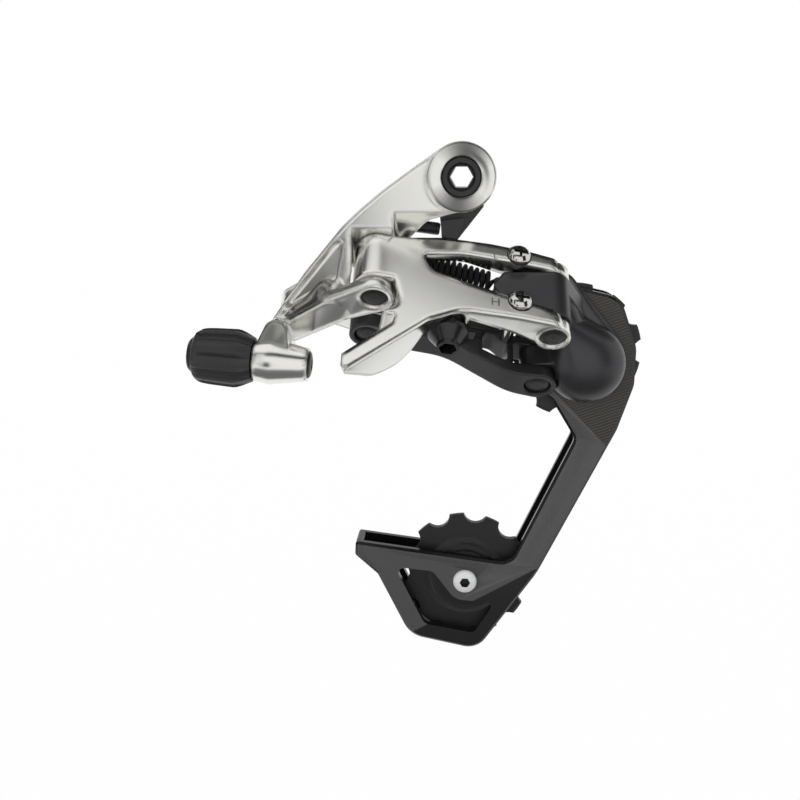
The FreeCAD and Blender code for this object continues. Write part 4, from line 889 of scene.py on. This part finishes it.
finish("letter_ink", (0.10, 0.10, 0.10), 0.3, 0.5)
for letter, node, size in (("H", "h_limit_screw", 4.0), ("L", "l_limit_screw", 2.6)):
    points = [vertex.co for vertex in frame["nodes"][node].data.vertices]
    outermost = min(point.y for point in points)
    screw_head = [point for point in points if point.y < outermost + HEAD_HEIGHT]
    centre = sum(screw_head, Vector()) / len(screw_head)
    _, place, normal, _ = soft["outer_link"].closest_point_on_mesh(centre - link_way * LETTER_SHIFT)
    across = (link_way - normal * link_way.dot(normal)).normalized()
    text = bpy.data.curves.new("letter_" + letter, "FONT")
    text.body = letter
    text.size = size * MM
    text.extrude = LETTER_THICKNESS
    text.align_x = "CENTER"
    text.align_y = "CENTER"
    flat = bpy.data.objects.new("letter_flat", text)
    form = bmesh.new()
    form.from_mesh(flat.to_mesh())
    bpy.data.objects.remove(flat)
    turn = Matrix((across, normal.cross(across), normal)).transposed().to_4x4()
    lift = Matrix.Translation(place + normal * LETTER_LIFT)
    bmesh.ops.transform(form, matrix=lift @ turn, verts=form.verts)
    mark = show("mark_" + letter, form, body_of_node["outer_link"], "letter_ink")
    print(mark.name, "at", [round(value / MM, 1) for value in place])

# %% [markdown]
# The tension pulley's bolt has a bright face, and its hexagonal socket looks dark, because the socket is
# deep and in shade. The socket is in the frame's shape, so only its faces' finish changes: they are painted
# dark as shade.

# %% Paint shade into the bolt's socket
SOCKET_SHARE = 0.5
SOCKET_DEPTHS = (0.05 * MM, 3 * MM)

tension_at, tension_way = pivot("tension_spin")
bolt_front, _, flange = span_along("tension_bolt", tension_at, tension_way)


def in_socket(face):
    """Whether a face lies inside the hexagonal socket."""
    height, away = beside(face.center, tension_at, tension_way)
    inside = away.length < SOCKET_SHARE * flange
    return inside and SOCKET_DEPTHS[0] < height - bolt_front < SOCKET_DEPTHS[1]


form = merged("tension_bolt")
bolt = show("bolt_bright", form, body_of_node["tension_bolt"], "bare_alloy", ["tension_bolt"])
# The socket's faces are painted dark as shade.
print("socket faces:", repaint(bolt, "dark_pin", in_socket))

# %% [markdown]
# The grip is a rubber sleeve, a little barrel-shaped, with rounded shoulders. It is turned first: a spin
# carries its profile round the cable's line. The profile's widths are shares of its radius and its places
# are shares of its length, so it follows the frame's sleeve. The spin has many steps, for the flutes.

# %% Turn the grip
FLUTES = 12
STEPS_PER_FLUTE = 20

grip_front, grip_rear, grip_radius = span_along("adjuster_sleeve", turn_at, turn_way)
_, _, barrel_radius = span_along("adjuster_barrel", turn_at, turn_way)
grip_length = grip_rear - grip_front
outline = [
    (0.76, 0.0), (0.84, 0.08), (0.92, 0.16), (0.98, 0.24), (1.0, 0.30), (0.99, 0.42), (0.98, 0.54),
    (0.97, 0.66), (0.955, 0.76), (0.935, 0.84), (0.90, 0.90), (0.82, 0.96), (0.68, 1.0),
]
profile = [(barrel_radius, grip_front)]
for width, share in outline:
    profile.append((width * grip_radius, grip_front + share * grip_length))
profile.append((barrel_radius, grip_front + grip_length))
form = turned_piece(profile, turn_at, turn_way, FLUTES * STEPS_PER_FLUTE)
print("grip", round(grip_length / MM, 1), "mm long,", len(form.verts), "points")

# %% [markdown]
# Then each ring of points is drawn in between twelve ridges, which leaves broad hollow flutes with a thin
# crest between them. Cutting each flute with its own tool would take twelve booleans and leave hard edges,
# and the real crests are soft. The flutes fade out towards both ends of the sleeve.

# %% Draw in the grip's flutes
FLUTE_DEPTH = 0.075
FLUTE_STEEPNESS = 3.2
FLUTE_ROUNDNESS = 0.8
FADE_FRONT = 5
FADE_REAR = 6
FLUTED_FROM, FLUTED_TO = 0.02, 0.99
BORE_MARGIN = 1.02
GRIP_SMOOTH = 24

side_way = turn_way.orthogonal().normalized()
other_way = turn_way.cross(side_way)
for vertex in form.verts:
    height, away = beside(vertex.co, turn_at, turn_way)
    share = (height - grip_front) / grip_length
    if away.length < barrel_radius * BORE_MARGIN or not FLUTED_FROM < share < FLUTED_TO:
        continue
    place = math.atan2(away.dot(other_way), away.dot(side_way)) / (2 * math.pi) * FLUTES % 1
    hollow = min(1, FLUTE_STEEPNESS * (1 - abs(2 * place - 1))) ** FLUTE_ROUNDNESS
    fade = min(1, FADE_FRONT * share, FADE_REAR * (1 - share))
    vertex.co -= away.normalized() * hollow * fade * FLUTE_DEPTH * grip_radius
grip = show("grip_fluted", form, body_of_node["adjuster_sleeve"], "grip_rubber", ["adjuster_sleeve"],
            smooth=GRIP_SMOOTH)
print(grip.name, len(grip.data.polygons), "faces")
